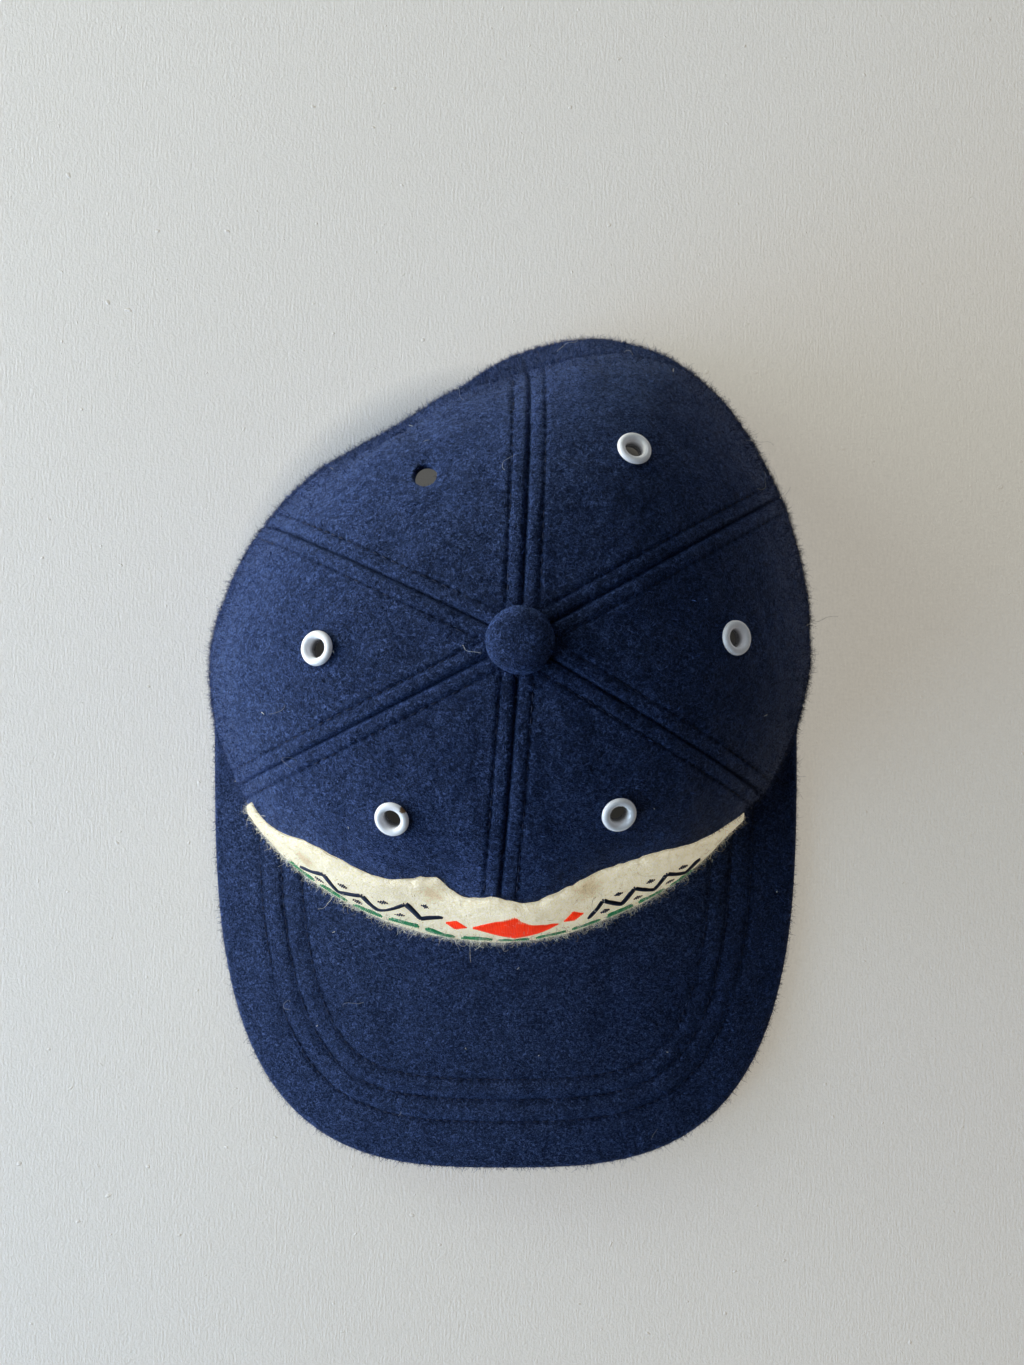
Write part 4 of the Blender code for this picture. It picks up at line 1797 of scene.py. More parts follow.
@dataclass
class Embroidery:
    """Plain geometric satin stitching on the felt: zigzags, lozenges and dashes.

    The design's own sizes are in millimetres, across from the middle of the front and
    down from the felt's upper edge.
    """

    felt: FrontFelt
    thread_pitch: float = 0.42 * MM
    thread_radius: float = 0.25 * MM
    degree: float = 1.28 * MM
    margin: float = 1.1 * MM
    zigzags: tuple[tuple[float, float], ...] = ((-56, -19), (19, 52))
    teeth: int = 8
    tooth_top: float = 10.5
    tooth_foot: float = 17.5
    zigzag_width: float = 1.35
    dot_half: float = 1.1
    lozenge_row: float = 12.5
    wide_lozenge: tuple[float, float] = (11.0, 9.0)
    small_lozenge: tuple[float, float] = (2.6, 3.0)
    small_place: float = 15
    dashes_each_side: int = 6
    dash_row: float = 24.0
    dash_pitch: float = 9.2
    dash_half: float = 3.6
    dash_width: float = 4.6
    sewn: KDTree = field(init=False)

    def satin(self, path: Array, half_width: Array) -> Parts:
        """Threads laid side by side across a stroke.

        Args:
            path: The stroke's middle line, as rows of distance round the front and
                distance below the felt's edge.
            half_width: Half the stroke's width at each row.

        Returns:
            Points and arrays of faces.
        """
        ahead = np.gradient(path, axis=0)
        ahead /= np.linalg.norm(ahead, axis=-1, keepdims=True)
        across = np.stack([-ahead[:, 1], ahead[:, 0]], axis=-1) * half_width[:, None]
        share = np.array([-1.0, -0.82, -0.35, 0.35, 0.82, 1.0])
        places = path[:, None] + share[:, None] * across[:, None]
        angle = places[..., 0] / self.degree
        down = self.felt.down_at(angle, places[..., 1])
        lift = np.array([-0.15, 0.10, 0.26, 0.26, 0.10, -0.15]) * MM
        centres = self.felt.outside(angle, down, np.broadcast_to(lift, down.shape))
        ups = self.felt.shape.normal(angle, down)
        return tubes(centres, ups, self.thread_radius, 4)

    def stroke(self, corners: Sequence[tuple[float, float]], width: float) -> Parts:
        """Sews a satin stroke of even width.

        Args:
            corners: The stroke's corners, in millimetres.
            width: Its width, in millimetres.

        Returns:
            Points and arrays of faces.
        """
        line = np.array([(*corner, 0.0) for corner in corners]) * MM
        stations = run_lengths(line)
        count = max(2, round(float(stations[-1]) / self.thread_pitch))
        wanted = np.linspace(0, stations[-1], count)
        path = along_line(stations, line, wanted)[:, :2]
        ends = np.minimum(wanted, wanted[-1] - wanted)
        half = width * MM / 2 * np.clip(0.35 + ends / (0.8 * MM), 0, 1)
        return self.satin(path, half)

    def lozenge(self, middle: tuple[float, float], half: tuple[float, float]) -> Parts:
        """Fills a lozenge with satin.

        Args:
            middle: Its middle, in millimetres.
            half: Half its width and height, in millimetres.

        Returns:
            Points and arrays of faces.
        """
        count = max(3, round(2 * half[0] * MM / self.thread_pitch))
        across = np.linspace(-1, 1, count) * 0.96
        path = np.stack(
            [(middle[0] + half[0] * across) * MM, np.full(count, middle[1] * MM)], axis=-1
        )
        return self.satin(path, half[1] * MM * (1 - np.abs(across)))

    def zigzag(self, start: float, end: float) -> list[Parts]:
        """Sews a zigzag with a small lozenge in each of its notches.

        Args:
            start: Where it starts, in millimetres.
            end: Where it ends, in millimetres.

        Returns:
            Points and arrays of faces of each stroke.
        """
        teeth = np.linspace(start, end, self.teeth)
        heights = np.where(np.arange(self.teeth) % 2, self.tooth_top, self.tooth_foot)
        strokes = [self.stroke(list(zip(teeth, heights)), self.zigzag_width)]
        for tooth, height in zip(teeth[1:-1], heights[1:-1]):
            dot = (tooth, self.tooth_top + self.tooth_foot - height)
            strokes.append(self.lozenge(dot, (self.dot_half, self.dot_half)))
        return strokes

    def build(self, threads: dict[str, Material]) -> None:
        """Adds one piece for each colour of thread.

        Args:
            threads: The finish of each colour.
        """
        row, side = self.lozenge_row, self.small_place
        flame = [self.lozenge((0, row), self.wide_lozenge)]
        flame += [self.lozenge((place, row), self.small_lozenge) for place in (-side, side)]
        dashes = []
        for number in range(-self.dashes_each_side, self.dashes_each_side + 1):
            middle = number * self.dash_pitch
            ends = (middle - self.dash_half, middle + self.dash_half)
            dashes.append(self.stroke([(end, self.dash_row) for end in ends], self.dash_width))
        navy = [stroke for ends in self.zigzags for stroke in self.zigzag(*ends)]
        found = []
        for colour, strokes in (("navy", navy), ("flame", flame), ("green", dashes)):
            parts = join_parts(strokes)
            found.append(parts[0][::4])
            add_piece(f"embroidery_{colour}", parts, [threads[colour]])
        found = np.concatenate(found)
        self.sewn = KDTree(len(found))
        for place, point in enumerate(found):
            self.sewn.insert(point, place)
        self.sewn.balance()

    def clear(self, roots: Array) -> Array:
        """Whether each point on the felt lies beside the stitching."""
        return np.array([self.sewn.find(root)[2] > self.margin for root in roots])


def join_parts(parts: Sequence[Parts]) -> Parts:
    """Joins several parts' points and faces into one part's.

    Args:
        parts: The parts.

    Returns:
        Points and arrays of faces.
    """
    first, points, faces = 0, [], []
    for part_points, part_faces in parts:
        points.append(part_points)
        faces += [part + first for part in part_faces if len(part)]
        first += len(part_points)
    return np.concatenate(points), faces


# Brim


@dataclass
class Brim:
    """The brim's top and under cloths, with three sewn rows that follow its edge."""

    shape: CapShape
    insets: tuple[float, ...] = (15 * MM, 22 * MM, 28.5 * MM)
    edge_round: float = 2.2 * MM
    lip: float = 0.18 * MM
    row_depth: float = 0.50 * MM
    row_width: float = 0.75 * MM
    puff_height: float = 0.22 * MM
    puff_width: float = 2.2 * MM
    pitch: float = 2.8 * MM
    stitch: float = 1.9 * MM
    thread_depth_share: float = 0.55
    columns: int = 261
    even_rows: int = 21
    near_rows: tuple[float, ...] = (
        0.0, 0.03, 0.12, 0.3, 0.6, 1.1, 1.7, 2.4, 4.0, 6.0, 8.5, 11, 13, 14, 14.5, 15,
        15.5, 16, 17.5, 19.5, 21, 21.5, 22, 22.5, 23, 24.5, 26.5, 27.5, 28, 28.5, 29,
        29.5, 30.5, 32.5,
    )
    skin: Skin = field(init=False)

    def outline(self) -> Array:
        """Fine plan outline of the brim, as x and y from the crown's middle."""
        tip = self.shape.brim_tip_angle
        angle = np.linspace(-tip, tip, 1400)
        return np.stack(self.shape.in_plan(angle, self.shape.brim_edge(angle)), axis=-1)

    def grid(self) -> tuple[Array, Array, Array]:
        """Plan of the fine grid, from the root inside the hem out to the edge.

        Returns:
            x and y from the crown's middle, and the distance in from the edge.
        """
        shape = self.shape
        tip = shape.brim_tip_angle
        angle = np.linspace(-tip, tip, self.columns)
        edge, hem = shape.brim_edge(angle), shape.hem_radius(angle)
        root = hem - shape.panel_wall
        span = edge - root
        near = np.array(self.near_rows)[:, None] * MM
        share = np.minimum(1.0, span / (near[-1] + 2 * MM))
        close = edge - near * share
        parts = np.linspace(0, 1, self.even_rows + 1)[1:, None]
        radius = np.concatenate([close, between(close[-1], root, parts)])[::-1]
        x, y = shape.in_plan(angle, radius)
        inset = np.full(x.shape, np.inf)
        for edge_x, edge_y in self.outline():
            inset = np.minimum(inset, np.hypot(x - edge_x, y - edge_y))
        inset[-1] = 0.0
        return x, y, inset

    def row_line(self, inset: float) -> tuple[Array, Array]:
        """Lays a sewn row on the top face, clear of the crown.

        Args:
            inset: Distance in from the brim's edge.

        Returns:
            Points and normals along the row.
        """
        outline = self.outline()
        ahead = np.gradient(outline, axis=0)
        ahead /= np.linalg.norm(ahead, axis=-1, keepdims=True)
        inward = np.stack([-ahead[:, 1], ahead[:, 0]], axis=-1)
        line = outline + inset * inward
        x, y = line.T
        hem = self.shape.hem_radius(self.shape.angle_of(x, y))
        keep = (np.hypot(x, y) > hem + 1.2 * MM) & (y < 0)
        x, y = x[keep], y[keep]
        height = self.shape.brim_top(x, y) - self.row_depth * self.thread_depth_share
        return self.shape.placed(x, y, height), self.top_normal(x, y)

    def top_normal(self, x: Array, y: Array) -> Array:
        """Works out normals of the brim's plain top face.

        Args:
            x: Distance to the right of the crown's middle.
            y: Distance behind the crown's middle.

        Returns:
            The normals.
        """
        step, top = 0.5 * MM, self.shape.brim_top
        slope_x = (top(x + step, y) - top(x - step, y)) / (2 * step)
        slope_y = (top(x, y + step) - top(x, y - step)) / (2 * step)
        return unit(np.stack([-slope_x, -slope_y, np.ones_like(x)], axis=-1))

    def outside_crown(self, roots: Array) -> Array:
        """Whether each point on the brim lies outside the crown."""
        angle, reach = self.shape.around(roots)
        return reach > self.shape.hem_radius(angle) + 0.5 * MM

    def rows_at(self, inset: Array, width: float) -> Array:
        """Sum of soft humps of a width over the sewn rows."""
        return sum(hump(inset - row, width) for row in self.insets)

    def build(self, wool: Material) -> None:
        """Builds both cloths.

        Args:
            wool: Their finish.
        """
        shape = self.shape
        x, y, inset = self.grid()
        base = shape.brim_under(x, y)
        inward = np.clip(inset / self.edge_round, 0, 1)
        rounding = np.sqrt(inward * (2 - inward))
        lip = self.lip + (shape.brim_cloth - self.lip) * rounding
        plan = shape.placed(x, y, np.zeros_like(x))
        soft = 0.20 * Ripples(31, 17 * MM).at(plan) + 0.10 * Ripples(32, 5 * MM).at(plan)
        past_hem = np.hypot(x, y) - shape.hem_radius(shape.angle_of(x, y))
        clear = smooth_step(past_hem, 0.0, 4 * MM) * smooth_step(inset, 0.0, 3 * MM)
        rows = self.rows_at(inset, self.row_width)
        puffs = sum(
            hump(inset - (low + high) / 2, self.puff_width)
            for low, high in zip(self.insets, self.insets[1:])
        )
        relief = (soft * MM + self.puff_height * puffs - self.row_depth * rows) * clear
        # Painted shade along the sewn rows of the top cloth.
        crease_shade = 0.48 * self.rows_at(inset, 0.70 * MM) * clear
        # Painted shade where the brim runs in under the crown's hem.
        crease_shade = np.maximum(crease_shade, 0.8 * hump(past_hem, 1.3 * MM))
        middle = base + shape.brim_cloth
        top = shape.placed(x, y, middle + shape.piece_gap + lip + relief)
        seat = shape.placed(x, y, middle + shape.piece_gap * 0.55)[::2, ::2]
        normals = self.top_normal(x, y)
        tilt = smooth_step(1 - inset / self.edge_round)[..., None]
        outward = shape.placed(x, y - shape.plan_shift, np.zeros_like(x))
        normals = unit(normals + 2.0 * tilt * unit(outward))
        self.skin = Skin(top, normals, crease_shade)
        parts, marks = self.skin.wall(seat, 2)
        nodes = ["brim_top_cloth"]
        add_piece("wool_brim_top", parts, [wool], nodes, crease_shade=marks)
        under = shape.placed(x, y, np.maximum(middle - lip, 0.0))[::2, ::-2]
        # Painted shade along the sewn rows of the under cloth.
        marks = 0.4 * self.rows_at(inset, 0.55 * MM)[::2, ::-2]
        lower = Skin(under, -normals[::2, ::-2], marks)
        seat = shape.placed(x, y, middle + shape.piece_gap * 0.45)[::2, ::-2]
        parts, marks = lower.wall(seat, 1)
        nodes = ["brim_under_cloth"]
        add_piece("wool_brim_under", parts, [wool], nodes, crease_shade=marks)


# Sweatband


@dataclass(frozen=True)
class Sweatband:
    """Cotton band inside the hem, with its ends meeting at the rear seam."""

    shape: CapShape
    width: float = 30 * MM
    wall: float = 1.2 * MM
    floor_gap: float = 1.2 * MM
    inset: float = 0.9 * MM
    rear_seam: float = 177.0
    rows: int = 15
    columns: int = 241

    def inside_wall(self, angle: Array, height: Array, inset: float) -> Array:
        """Finds points inside the crown, by halving steps down its face.

        Args:
            angle: Angles round the crown.
            height: Heights above the surface.
            inset: Distance in from the crown's outer face.

        Returns:
            The points.
        """
        low, high = np.full_like(height, 0.45), np.ones_like(height)
        for _ in range(22):
            middle = (low + high) / 2
            above = self.shape.face(angle, middle)[..., 2] > height
            low, high = np.where(above, middle, low), np.where(above, high, middle)
        found = self.shape.offset(angle, low, np.full_like(low, -inset))
        found[..., 2] = height
        return found

    def build(self, cotton: Material) -> None:
        """Builds the band.

        Args:
            cotton: Its finish.
        """
        shape = self.shape
        line = np.linspace(self.rear_seam + 0.4, self.rear_seam + 359.6, self.columns)
        hem = shape.hem_radius(line)
        under = shape.brim_under(*shape.in_plan(line, hem))
        foot = self.floor_gap + shape.over_brim(line) * under
        share = np.linspace(1, 0, self.rows)[:, None]
        height = foot + self.width * share
        angle = np.broadcast_to(line, height.shape)
        deep = shape.panel_wall + self.inset
        outer = self.inside_wall(angle, height, deep)
        inner = self.inside_wall(angle, height, deep + self.wall)
        skin = Skin(outer, unit(outer - inner), np.zeros(outer.shape[:2]))
        parts, _ = skin.wall(inner[::2, ::2], 2)
        add_piece("cotton_sweatband", parts, [cotton], ["sweatband"])


# Sewing


@dataclass(frozen=True)
class Sewing:
    """Rows of sewn thread along the seams and the brim's rows."""

    radius: float = 0.17 * MM
    sides: int = 5

    def row(
        self, line: Array, normals: Array, pitch: float, length: float, lift: float
    ) -> Parts:
        """One row of stitches.

        Args:
            line: Points that the row follows.
            normals: The cloth's normals along it.
            pitch: Distance from one stitch to the next.
            length: Length of a stitch.
            lift: Height of the thread's middle above the line.

        Returns:
            Points and arrays of faces.
        """
        stations = run_lengths(line)
        starts = np.arange(pitch * 0.1, stations[-1] - length, pitch)
        share = np.array([0.0, 0.14, 0.5, 0.86, 1.0])
        wanted = starts[:, None] + length * share
        flat = wanted.ravel()
        centres = along_line(stations, line, flat).reshape(*wanted.shape, 3)
        ups = unit(along_line(stations, normals, flat)).reshape(*wanted.shape, 3)
        rise = np.array([-0.30, 0.0, 0.06, 0.0, -0.30]) * MM + lift
        centres = centres + rise[:, None] * ups
        return tubes(centres, ups, self.radius * np.array([0.6, 1, 1.05, 1, 0.6]), self.sides)

    def seam_rows(self, shape: CapShape, seams: SeamProfile, seam: float) -> list[Parts]:
        """Sews both rows beside a crown seam, from the button to the hem or the felt.

        Args:
            shape: The cap's main form.
            seams: The seam's cross-section.
            seam: Angle of the seam.

        Returns:
            Points and arrays of faces of each row.
        """
        rows = []
        for sign in (-1, 1):
            down = np.linspace(0.03, 0.985, 420)
            plain = shape.radius(np.full_like(down, seam), down)
            angle = seam + sign * np.degrees(seams.row_distance / plain)
            signed = shape.signed(angle)
            inside = (signed > FELT_LEFT - 0.3) & (signed < FELT_RIGHT + 0.3)
            covered = inside & (down > shape.felt_edge(signed) - 0.004)
            keep = (plain > seams.rows_from_radius) & ~covered
            angle, down = angle[keep], down[keep]
            normals = shape.normal(angle, down)
            depth = seams.row_depth * seams.thread_depth_share
            line = shape.face(angle, down) - depth * normals
            stitch = (seams.pitch, seams.stitch, seams.thread_lift)
            rows.append(self.row(line, normals, *stitch))
        return rows


# Loose fibres


class NapShare(NamedTuple):
    """A kind of fibre in the nap, and how many there are on a square millimetre."""

    cut: FibreCut
    density: float


LYING = FibreCut(0.7 * MM, 2.0 * MM, 0.150 * MM, 8, 30, 0.45, links=1)
RISING = FibreCut(0.8 * MM, 2.4 * MM, 0.150 * MM, 25, 80, 0.65)
WISPY = FibreCut(1.6 * MM, 4.6 * MM, 0.110 * MM, 15, 80, 0.90, links=3)
FELT_NAP = FibreCut(0.5 * MM, 1.6 * MM, 0.110 * MM, 8, 60, 0.50, links=1)
FELT_CURLS = FibreCut(1.6 * MM, 5.8 * MM, 0.150 * MM, 15, 80, 1.15, links=5)
WOOL_NAP = (NapShare(LYING, 2.2), NapShare(RISING, 0.90), NapShare(WISPY, 0.10))
PANEL_HALO = (NapShare(WISPY, 1.18),)
BRIM_HALO = (NapShare(WISPY, 2.6),)
FELT_COVER = (NapShare(FELT_NAP, 1.2), NapShare(FELT_CURLS, 0.12))
FELT_FRINGE = (NapShare(FELT_CURLS, 0.52),)
WOOL_SHADES = (0.40, 0.36, 0.24)
HALO_SHADES = (0.30, 0.45, 0.25)
FELT_SHADES = (0.3, 0.4, 0.3)


@dataclass(frozen=True)
class Nap:
    """Brushed-up fibres of a cloth, in three shades with their shares."""

    finishes: tuple[Material, ...]
    slot: str
    kinds: tuple[NapShare, ...]
    shades: tuple[float, float, float]

    def cover(
        self,
        name: str,
        skin: Skin,
        seed: int,
        keep: Callable[[Array], Array] | None = None,
        steep_only: bool = False,
    ) -> None:
        """Grows the nap on a skin.

        Args:
            name: The piece's name.
            skin: The cloth's outer face.
            seed: Seed of the draws.
            keep: Says for each root whether its fibre stays.
            steep_only: Whether fibres stay only where the cloth stands upright.
        """
        draw = np.random.default_rng(seed)
        area = float(skin.cell_areas().sum())
        parts, shades = [], []
        for kind in self.kinds:
            count = round(kind.density * area / MM**2)
            roots, normals = skin.scatter(count, draw)
            if keep is not None:
                kept = keep(roots)
                roots, normals = roots[kept], normals[kept]
            if steep_only:
                upright = 1 - smooth_step(np.abs(normals[:, 2] - 0.12), 0.15, 0.55)
                kept = draw.random(len(roots)) < upright
                roots, normals = roots[kept], normals[kept]
            parts.append(fibre_ribbons(roots, normals, kind.cut, draw))
            shade = draw.choice(len(self.shades), size=len(roots), p=self.shades)
            quads = np.tile(shade, kind.cut.links - 1)
            shades += [part for part in (quads, shade) if len(part)]
        shade = np.concatenate(shades)
        add_piece(name, join_parts(parts), self.finishes, face_finish=shade)


@dataclass(frozen=True)
class StrayFibres:
    """Long curly fibres, or bits of lint, that cling to the cloth."""

    finish: Material
    shortest: float
    longest: float
    radius: float = 0.065 * MM
    lift: float = -0.3 * MM
    links: int = 18

    def curl(
        self, root: Array, normal: Array, length: float, draw: np.random.Generator
    ) -> Array:
        """Draws one fibre that leaves a skin and droops.

        Args:
            root: Where it leaves the skin.
            normal: The skin's normal there.
            length: Its length.
            draw: Source of the draws.

        Returns:
            Its centre line.
        """
        links = self.links
        heading = unit(normal * 0.55 + unit(np.cross(normal, draw.normal(size=3))))
        turn = draw.normal(size=3) * 0.18
        points = [root + self.lift * normal]
        for _ in range(links - 1):
            turn = 0.82 * turn + draw.normal(size=3) * 0.16
            heading = unit(heading + turn - np.array([0, 0, 0.05]))
            points.append(points[-1] + heading * length / links)
        line = np.array(points)
        line[:, 2] = np.maximum(line[:, 2], 0.2 * MM)
        return line

    def build(self, name: str, skin: Skin, count: int, slot: str, seed: int) -> None:
        """Adds one piece of fibres that cling to a skin.

        Args:
            name: The piece's name.
            skin: The cloth's outer face.
            count: How many fibres.
            slot: Not used.
            seed: Seed of the draws.
        """
        draw = np.random.default_rng(seed)
        roots, normals = skin.scatter(count, draw)
        lines = np.array(
            [
                self.curl(root, normal, draw.uniform(self.shortest, self.longest), draw)
                for root, normal in zip(roots, normals)
            ]
        )
        ups = np.broadcast_to(normals[:, None], lines.shape) + 0.01
        taper = np.linspace(1, 0.45, lines.shape[1])
        add_piece(name, tubes(lines, ups, self.radius * taper, 4), [self.finish])


# Studio


class Lamp(NamedTuple):
    """A round soft lamp that faces the cap."""

    name: str
    place: Place
    size: float
    power: float
    colour: Colour
    aim: Place = (0.0, 0.03, 0.0)


# Plan place on the surface below the bare vent hole
UNDER_VENT = (-0.027, 0.088)


@dataclass(frozen=True)
class Studio:
    """Painted surface, daylight from the left, camera above and a pale far screen."""

    camera_place: Place = (0.002, 0.02135, 0.438)
    lens: float = 35.39
    sensor: float = 36.0
    floor_half: float = 3.0
    lamps: tuple[Lamp, ...] = (
        Lamp("window_rear", (-1.059, 0.641, 0.260), 0.7, 10.8, (0.980, 1.0, 0.785)),
        Lamp("window_middle", (-1.223, 0.030, 0.260), 0.7, 12.6, (0.807, 0.835, 1.0)),
        Lamp("window_front", (-1.004, -0.550, 0.468), 0.7, 8.4, (0.530, 0.790, 1.0)),
        Lamp("high", (-1.200, 0.030, 1.400), 1.2, 3.8, (0.780, 0.930, 1.0)),
        Lamp("rear", (0.000, 1.400, 1.000), 1.0, 3.1, (0.800, 0.925, 1.0)),
        Lamp("inside", (*UNDER_VENT, 0.035), 8 * MM, 0.0021, (1.0, 0.95, 0.85), (*UNDER_VENT, 0.0)),
    )
    sky_colour: Colour = (1.0, 0.94, 0.86)
    sky_strength: float = 0.012
    screen_radius: float = 2.9
    screen_height: float = 2.6
    screen_sides: int = 48
    screen_colour: Colour = (0.430, 0.405, 0.360)

    def build_camera(self) -> None:
        """Places the camera straight above the cap."""
        data = bpy.data.cameras.new("camera")
        data.lens, data.sensor_width = self.lens, self.sensor
        data.clip_start, data.clip_end = 0.01, 20.0
        bpy.context.scene.camera = add_object("camera", data)
        bpy.context.scene.camera.location = self.camera_place

    def add_stage(self, name: str, points: list, faces: list, paint: Material) -> Object:
        """Adds a mesh that belongs to the surroundings.

        Args:
            name: The object's name.
            points: Its points.
            faces: Its faces, as point numbers.
            paint: Its finish.

        Returns:
            The object.
        """
        mesh = bpy.data.meshes.new(name)
        mesh.from_pydata(points, [], faces)
        mesh.materials.append(paint)
        made = add_object(name, mesh)
        return made

    def build_floor(self, paint: Material) -> None:
        """Lays the painted surface under the cap.

        Args:
            paint: Its finish.
        """
        low, high = -self.floor_half, self.floor_half
        corners = [(low, low, 0), (high, low, 0), (high, high, 0), (low, high, 0)]
        self.add_stage("floor", corners, [(0, 1, 2, 3)], paint)

    def build_screen(self) -> None:
        """Stands a pale round screen at the far end of the surface, for low views.

        Only the camera sees it, so it neither lights the cap nor throws a shadow.
        """
        turn = np.arange(self.screen_sides) * (2 * math.pi / self.screen_sides)
        ring = self.screen_radius * np.stack([np.cos(turn), np.sin(turn)], axis=-1)
        low = np.column_stack([ring, np.zeros(self.screen_sides)])
        high = np.column_stack([ring, np.full(self.screen_sides, self.screen_height)])
        points = np.concatenate([low, high]).tolist()
        faces = grid_faces(2, self.screen_sides, closed=True).tolist()
        paint = Recipe("screen_paint").finish(
            {
                "Base Color": (0.0, 0.0, 0.0, 1.0),
                "Specular IOR Level": 0.0,
                "Emission Color": (*self.screen_colour, 1.0),
                "Emission Strength": 1.0,
            }
        )
        screen = self.add_stage("screen", points, faces, paint)
        screen.visible_diffuse = screen.visible_glossy = False
        screen.visible_transmission = screen.visible_shadow = False

    def add_lamp(self, lamp: Lamp) -> None:
        """Adds one lamp, which the camera doesn't see.

        Args:
            lamp: Its place, size and light.
        """
        data = bpy.data.lights.new(lamp.name, "AREA")
        data.shape, data.size = "DISK", lamp.size
        data.energy, data.color = lamp.power, lamp.colour
        light = add_object(lamp.name, data)
        light.location = lamp.place
        aim = Vector(lamp.aim) - Vector(lamp.place)
        light.rotation_euler = aim.to_track_quat("-Z", "Y").to_euler()
        light.visible_camera = False

    def build_lights(self) -> None:
        """Adds the lamps and the room's even light."""
        for lamp in self.lamps:
            self.add_lamp(lamp)
        world = bpy.data.worlds.new("room")
        world.use_nodes = True
        sky = world.node_tree.nodes["Background"]
        sky.inputs["Color"].default_value = (*self.sky_colour, 1.0)
        sky.inputs["Strength"].default_value = self.sky_strength
        bpy.context.scene.world = world
        bpy.context.scene.view_settings.view_transform = "Standard"


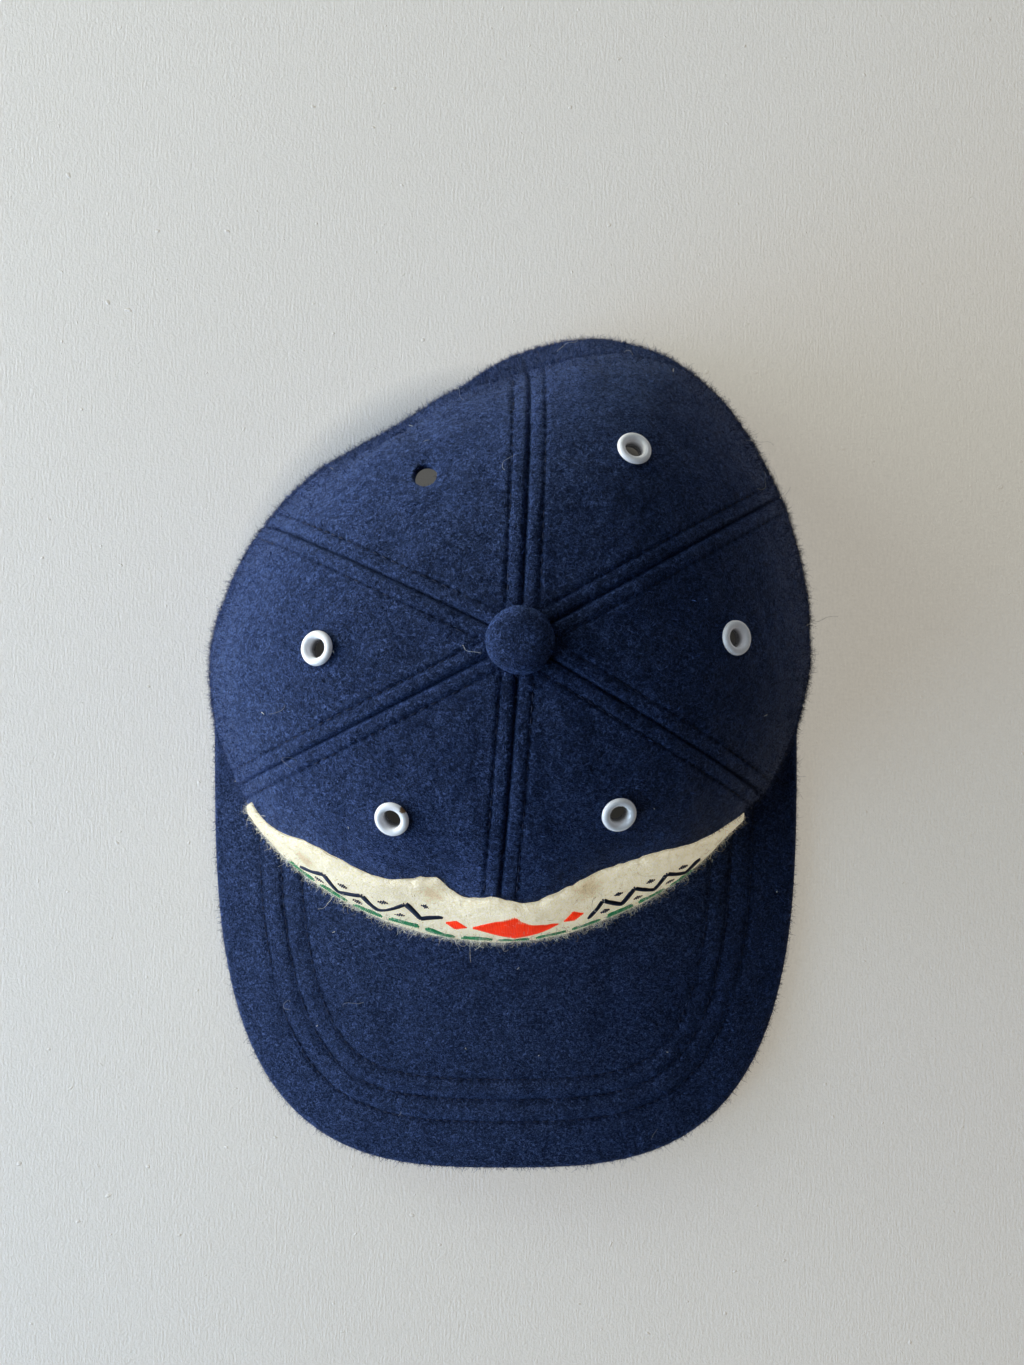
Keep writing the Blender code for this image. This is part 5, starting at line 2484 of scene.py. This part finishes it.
class Cap:
    """The whole dressed cap."""

    def __init__(self) -> None:
        """Works out the cap's place and sets out its sub-assemblies."""
        low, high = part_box("button")
        self.shape = CapShape(plan_shift=(low.y + high.y) / 2)
        self.seams = SeamProfile()
        self.panels = [CrownPanel(self.shape, self.seams, *cut) for cut in CUTS]
        self.button = Button(self.shape)
        self.felt = FrontFelt(self.shape)
        self.embroidery = Embroidery(self.felt)
        self.brim = Brim(self.shape)

    def build_cloth(self) -> None:
        """Builds the panels, eyelets, button, felt, brim and sweatband."""
        wool = WoolFinish().make()
        eyelet = Eyelet()
        enamel = EnamelFinish(chip=eyelet.chip(self.panels[-1])).make()
        for panel in self.panels:
            panel.build(wool)
            if panel.vent is Vent.EYELET:
                eyelet.build(panel, enamel)
        self.button.build(wool)
        self.felt.build(FeltFinish(self.felt.stains()).make())
        self.brim.build(wool)
        Sweatband(self.shape).build(TwillFinish().make())

    def build_sewing(self) -> None:
        """Adds the sewn rows and the embroidery."""
        sewing, brim = Sewing(), self.brim
        navy = ThreadFinish("navy_thread", (0.018, 0.027, 0.070), 0.5).make()
        rows = []
        for panel in self.panels:
            rows += sewing.seam_rows(self.shape, self.seams, panel.seam_from)
        add_piece("sewing_crown", join_parts(rows), [navy])
        rows = []
        for inset in brim.insets:
            line, normals = brim.row_line(inset)
            rows.append(sewing.row(line, normals, brim.pitch, brim.stitch, 0.0))
        add_piece("sewing_brim", join_parts(rows), [navy])
        threads = {
            "navy": ThreadFinish("navy_floss", (0.014, 0.024, 0.060), 0.7).make(),
            # The flame and green floss get a weak painted glow.
            "flame": ThreadFinish("flame_floss", (0.930, 0.040, 0.003), 0.5, 0.46).make(),
            "green": ThreadFinish("green_floss", (0.014, 0.260, 0.100), 0.5, 0.22).make(),
        }
        self.embroidery.build(threads)

    def build_wool_fibres(self) -> None:
        """Adds the nap of the panels, button and brim, and the halos at their sides."""
        blue, slot = (0.20, 0.38, 1.00), "navy_wool"
        shades = (
            FibreFinish("wool_fibre_dark", (0.0025, 0.006, 0.023), 0.5, blue).make(),
            FibreFinish("wool_fibre_mid", (0.0120, 0.024, 0.082), 0.6, blue).make(),
            FibreFinish("wool_fibre_pale", (0.0720, 0.112, 0.270), 0.7, blue).make(),
        )
        nap = Nap(shades, slot, WOOL_NAP, WOOL_SHADES)
        halo = Nap(shades, slot, PANEL_HALO, HALO_SHADES)
        for number, panel in enumerate(self.panels):
            keep = panel.uncovered
            nap.cover(f"nap_{panel.name}", panel.skin, 100 + number, keep)
            wall = panel.skin.part(panel.rows // 2)
            halo.cover(f"halo_{panel.name}", wall, 120 + number, keep, steep_only=True)
        nap.cover("nap_button", self.button.skin, 110)
        keep = self.brim.outside_crown
        nap.cover("nap_brim", self.brim.skin, 111, keep)
        edge = self.brim.skin.part(-8)
        replace(halo, kinds=BRIM_HALO).cover("halo_brim", edge, 127, keep)

    def build_felt_fibres(self) -> Material:
        """Adds the felt's nap and fringe.

        Returns:
            The middle one of the felt fibres' finishes.
        """
        creams = (
            FibreFinish("felt_fibre_dark", (0.460, 0.430, 0.370)).make(),
            FibreFinish("felt_fibre_mid", (0.720, 0.690, 0.610)).make(),
            FibreFinish("felt_fibre_pale", (0.880, 0.865, 0.800)).make(),
        )
        nap = Nap(creams, "cream_felt", FELT_COVER, FELT_SHADES)
        nap.cover("nap_felt", self.felt.skin, 112, self.embroidery.clear)
        low = self.felt.skin.part(self.felt.rows // 3)
        replace(nap, kinds=FELT_FRINGE).cover("fringe_felt", low, 113)
        return creams[1]

    def build_strays(self, cream: Material) -> None:
        """Adds the stray fibres and the lint.

        Args:
            cream: Finish of the felt's stray fibres.
        """
        pale = FibreFinish("stray_pale", (0.420, 0.440, 0.480)).make()
        stray = StrayFibres(pale, 4 * MM, 11 * MM)
        for number, panel in enumerate(self.panels):
            stray.build(f"stray_{panel.name}", panel.skin, 6, "navy_wool", 200 + number)
        stray.build("stray_brim", self.brim.skin, 12, "navy_wool", 207)
        white = FibreFinish("lint_white", (0.720, 0.720, 0.700)).make()
        lint = StrayFibres(white, 0.8 * MM, 1.9 * MM, 0.16 * MM, lift=0.35 * MM, links=5)
        for number, panel in enumerate(self.panels):
            lint.build(f"lint_{panel.name}", panel.skin, 4, "navy_wool", 220 + number)
        short = replace(lint, shortest=0.5 * MM, longest=1.2 * MM)
        short.build("lint_brim", self.brim.skin, 9, "navy_wool", 227)
        curls = StrayFibres(cream, 5 * MM, 14 * MM, radius=0.085 * MM)
        curls.build("stray_felt", self.felt.skin, 34, "cream_felt", 208)


def main() -> None:
    """Builds the cap and its surroundings."""
    logging.basicConfig(level=logging.INFO, format="%(message)s")
    studio = Studio()
    studio.build_camera()
    studio.build_floor(FloorFinish().make())
    studio.build_screen()
    studio.build_lights()
    cap = Cap()
    cap.build_cloth()
    cap.build_sewing()
    cap.build_wool_fibres()
    cap.build_strays(cap.build_felt_fibres())


if __name__ == "__main__":
    main()
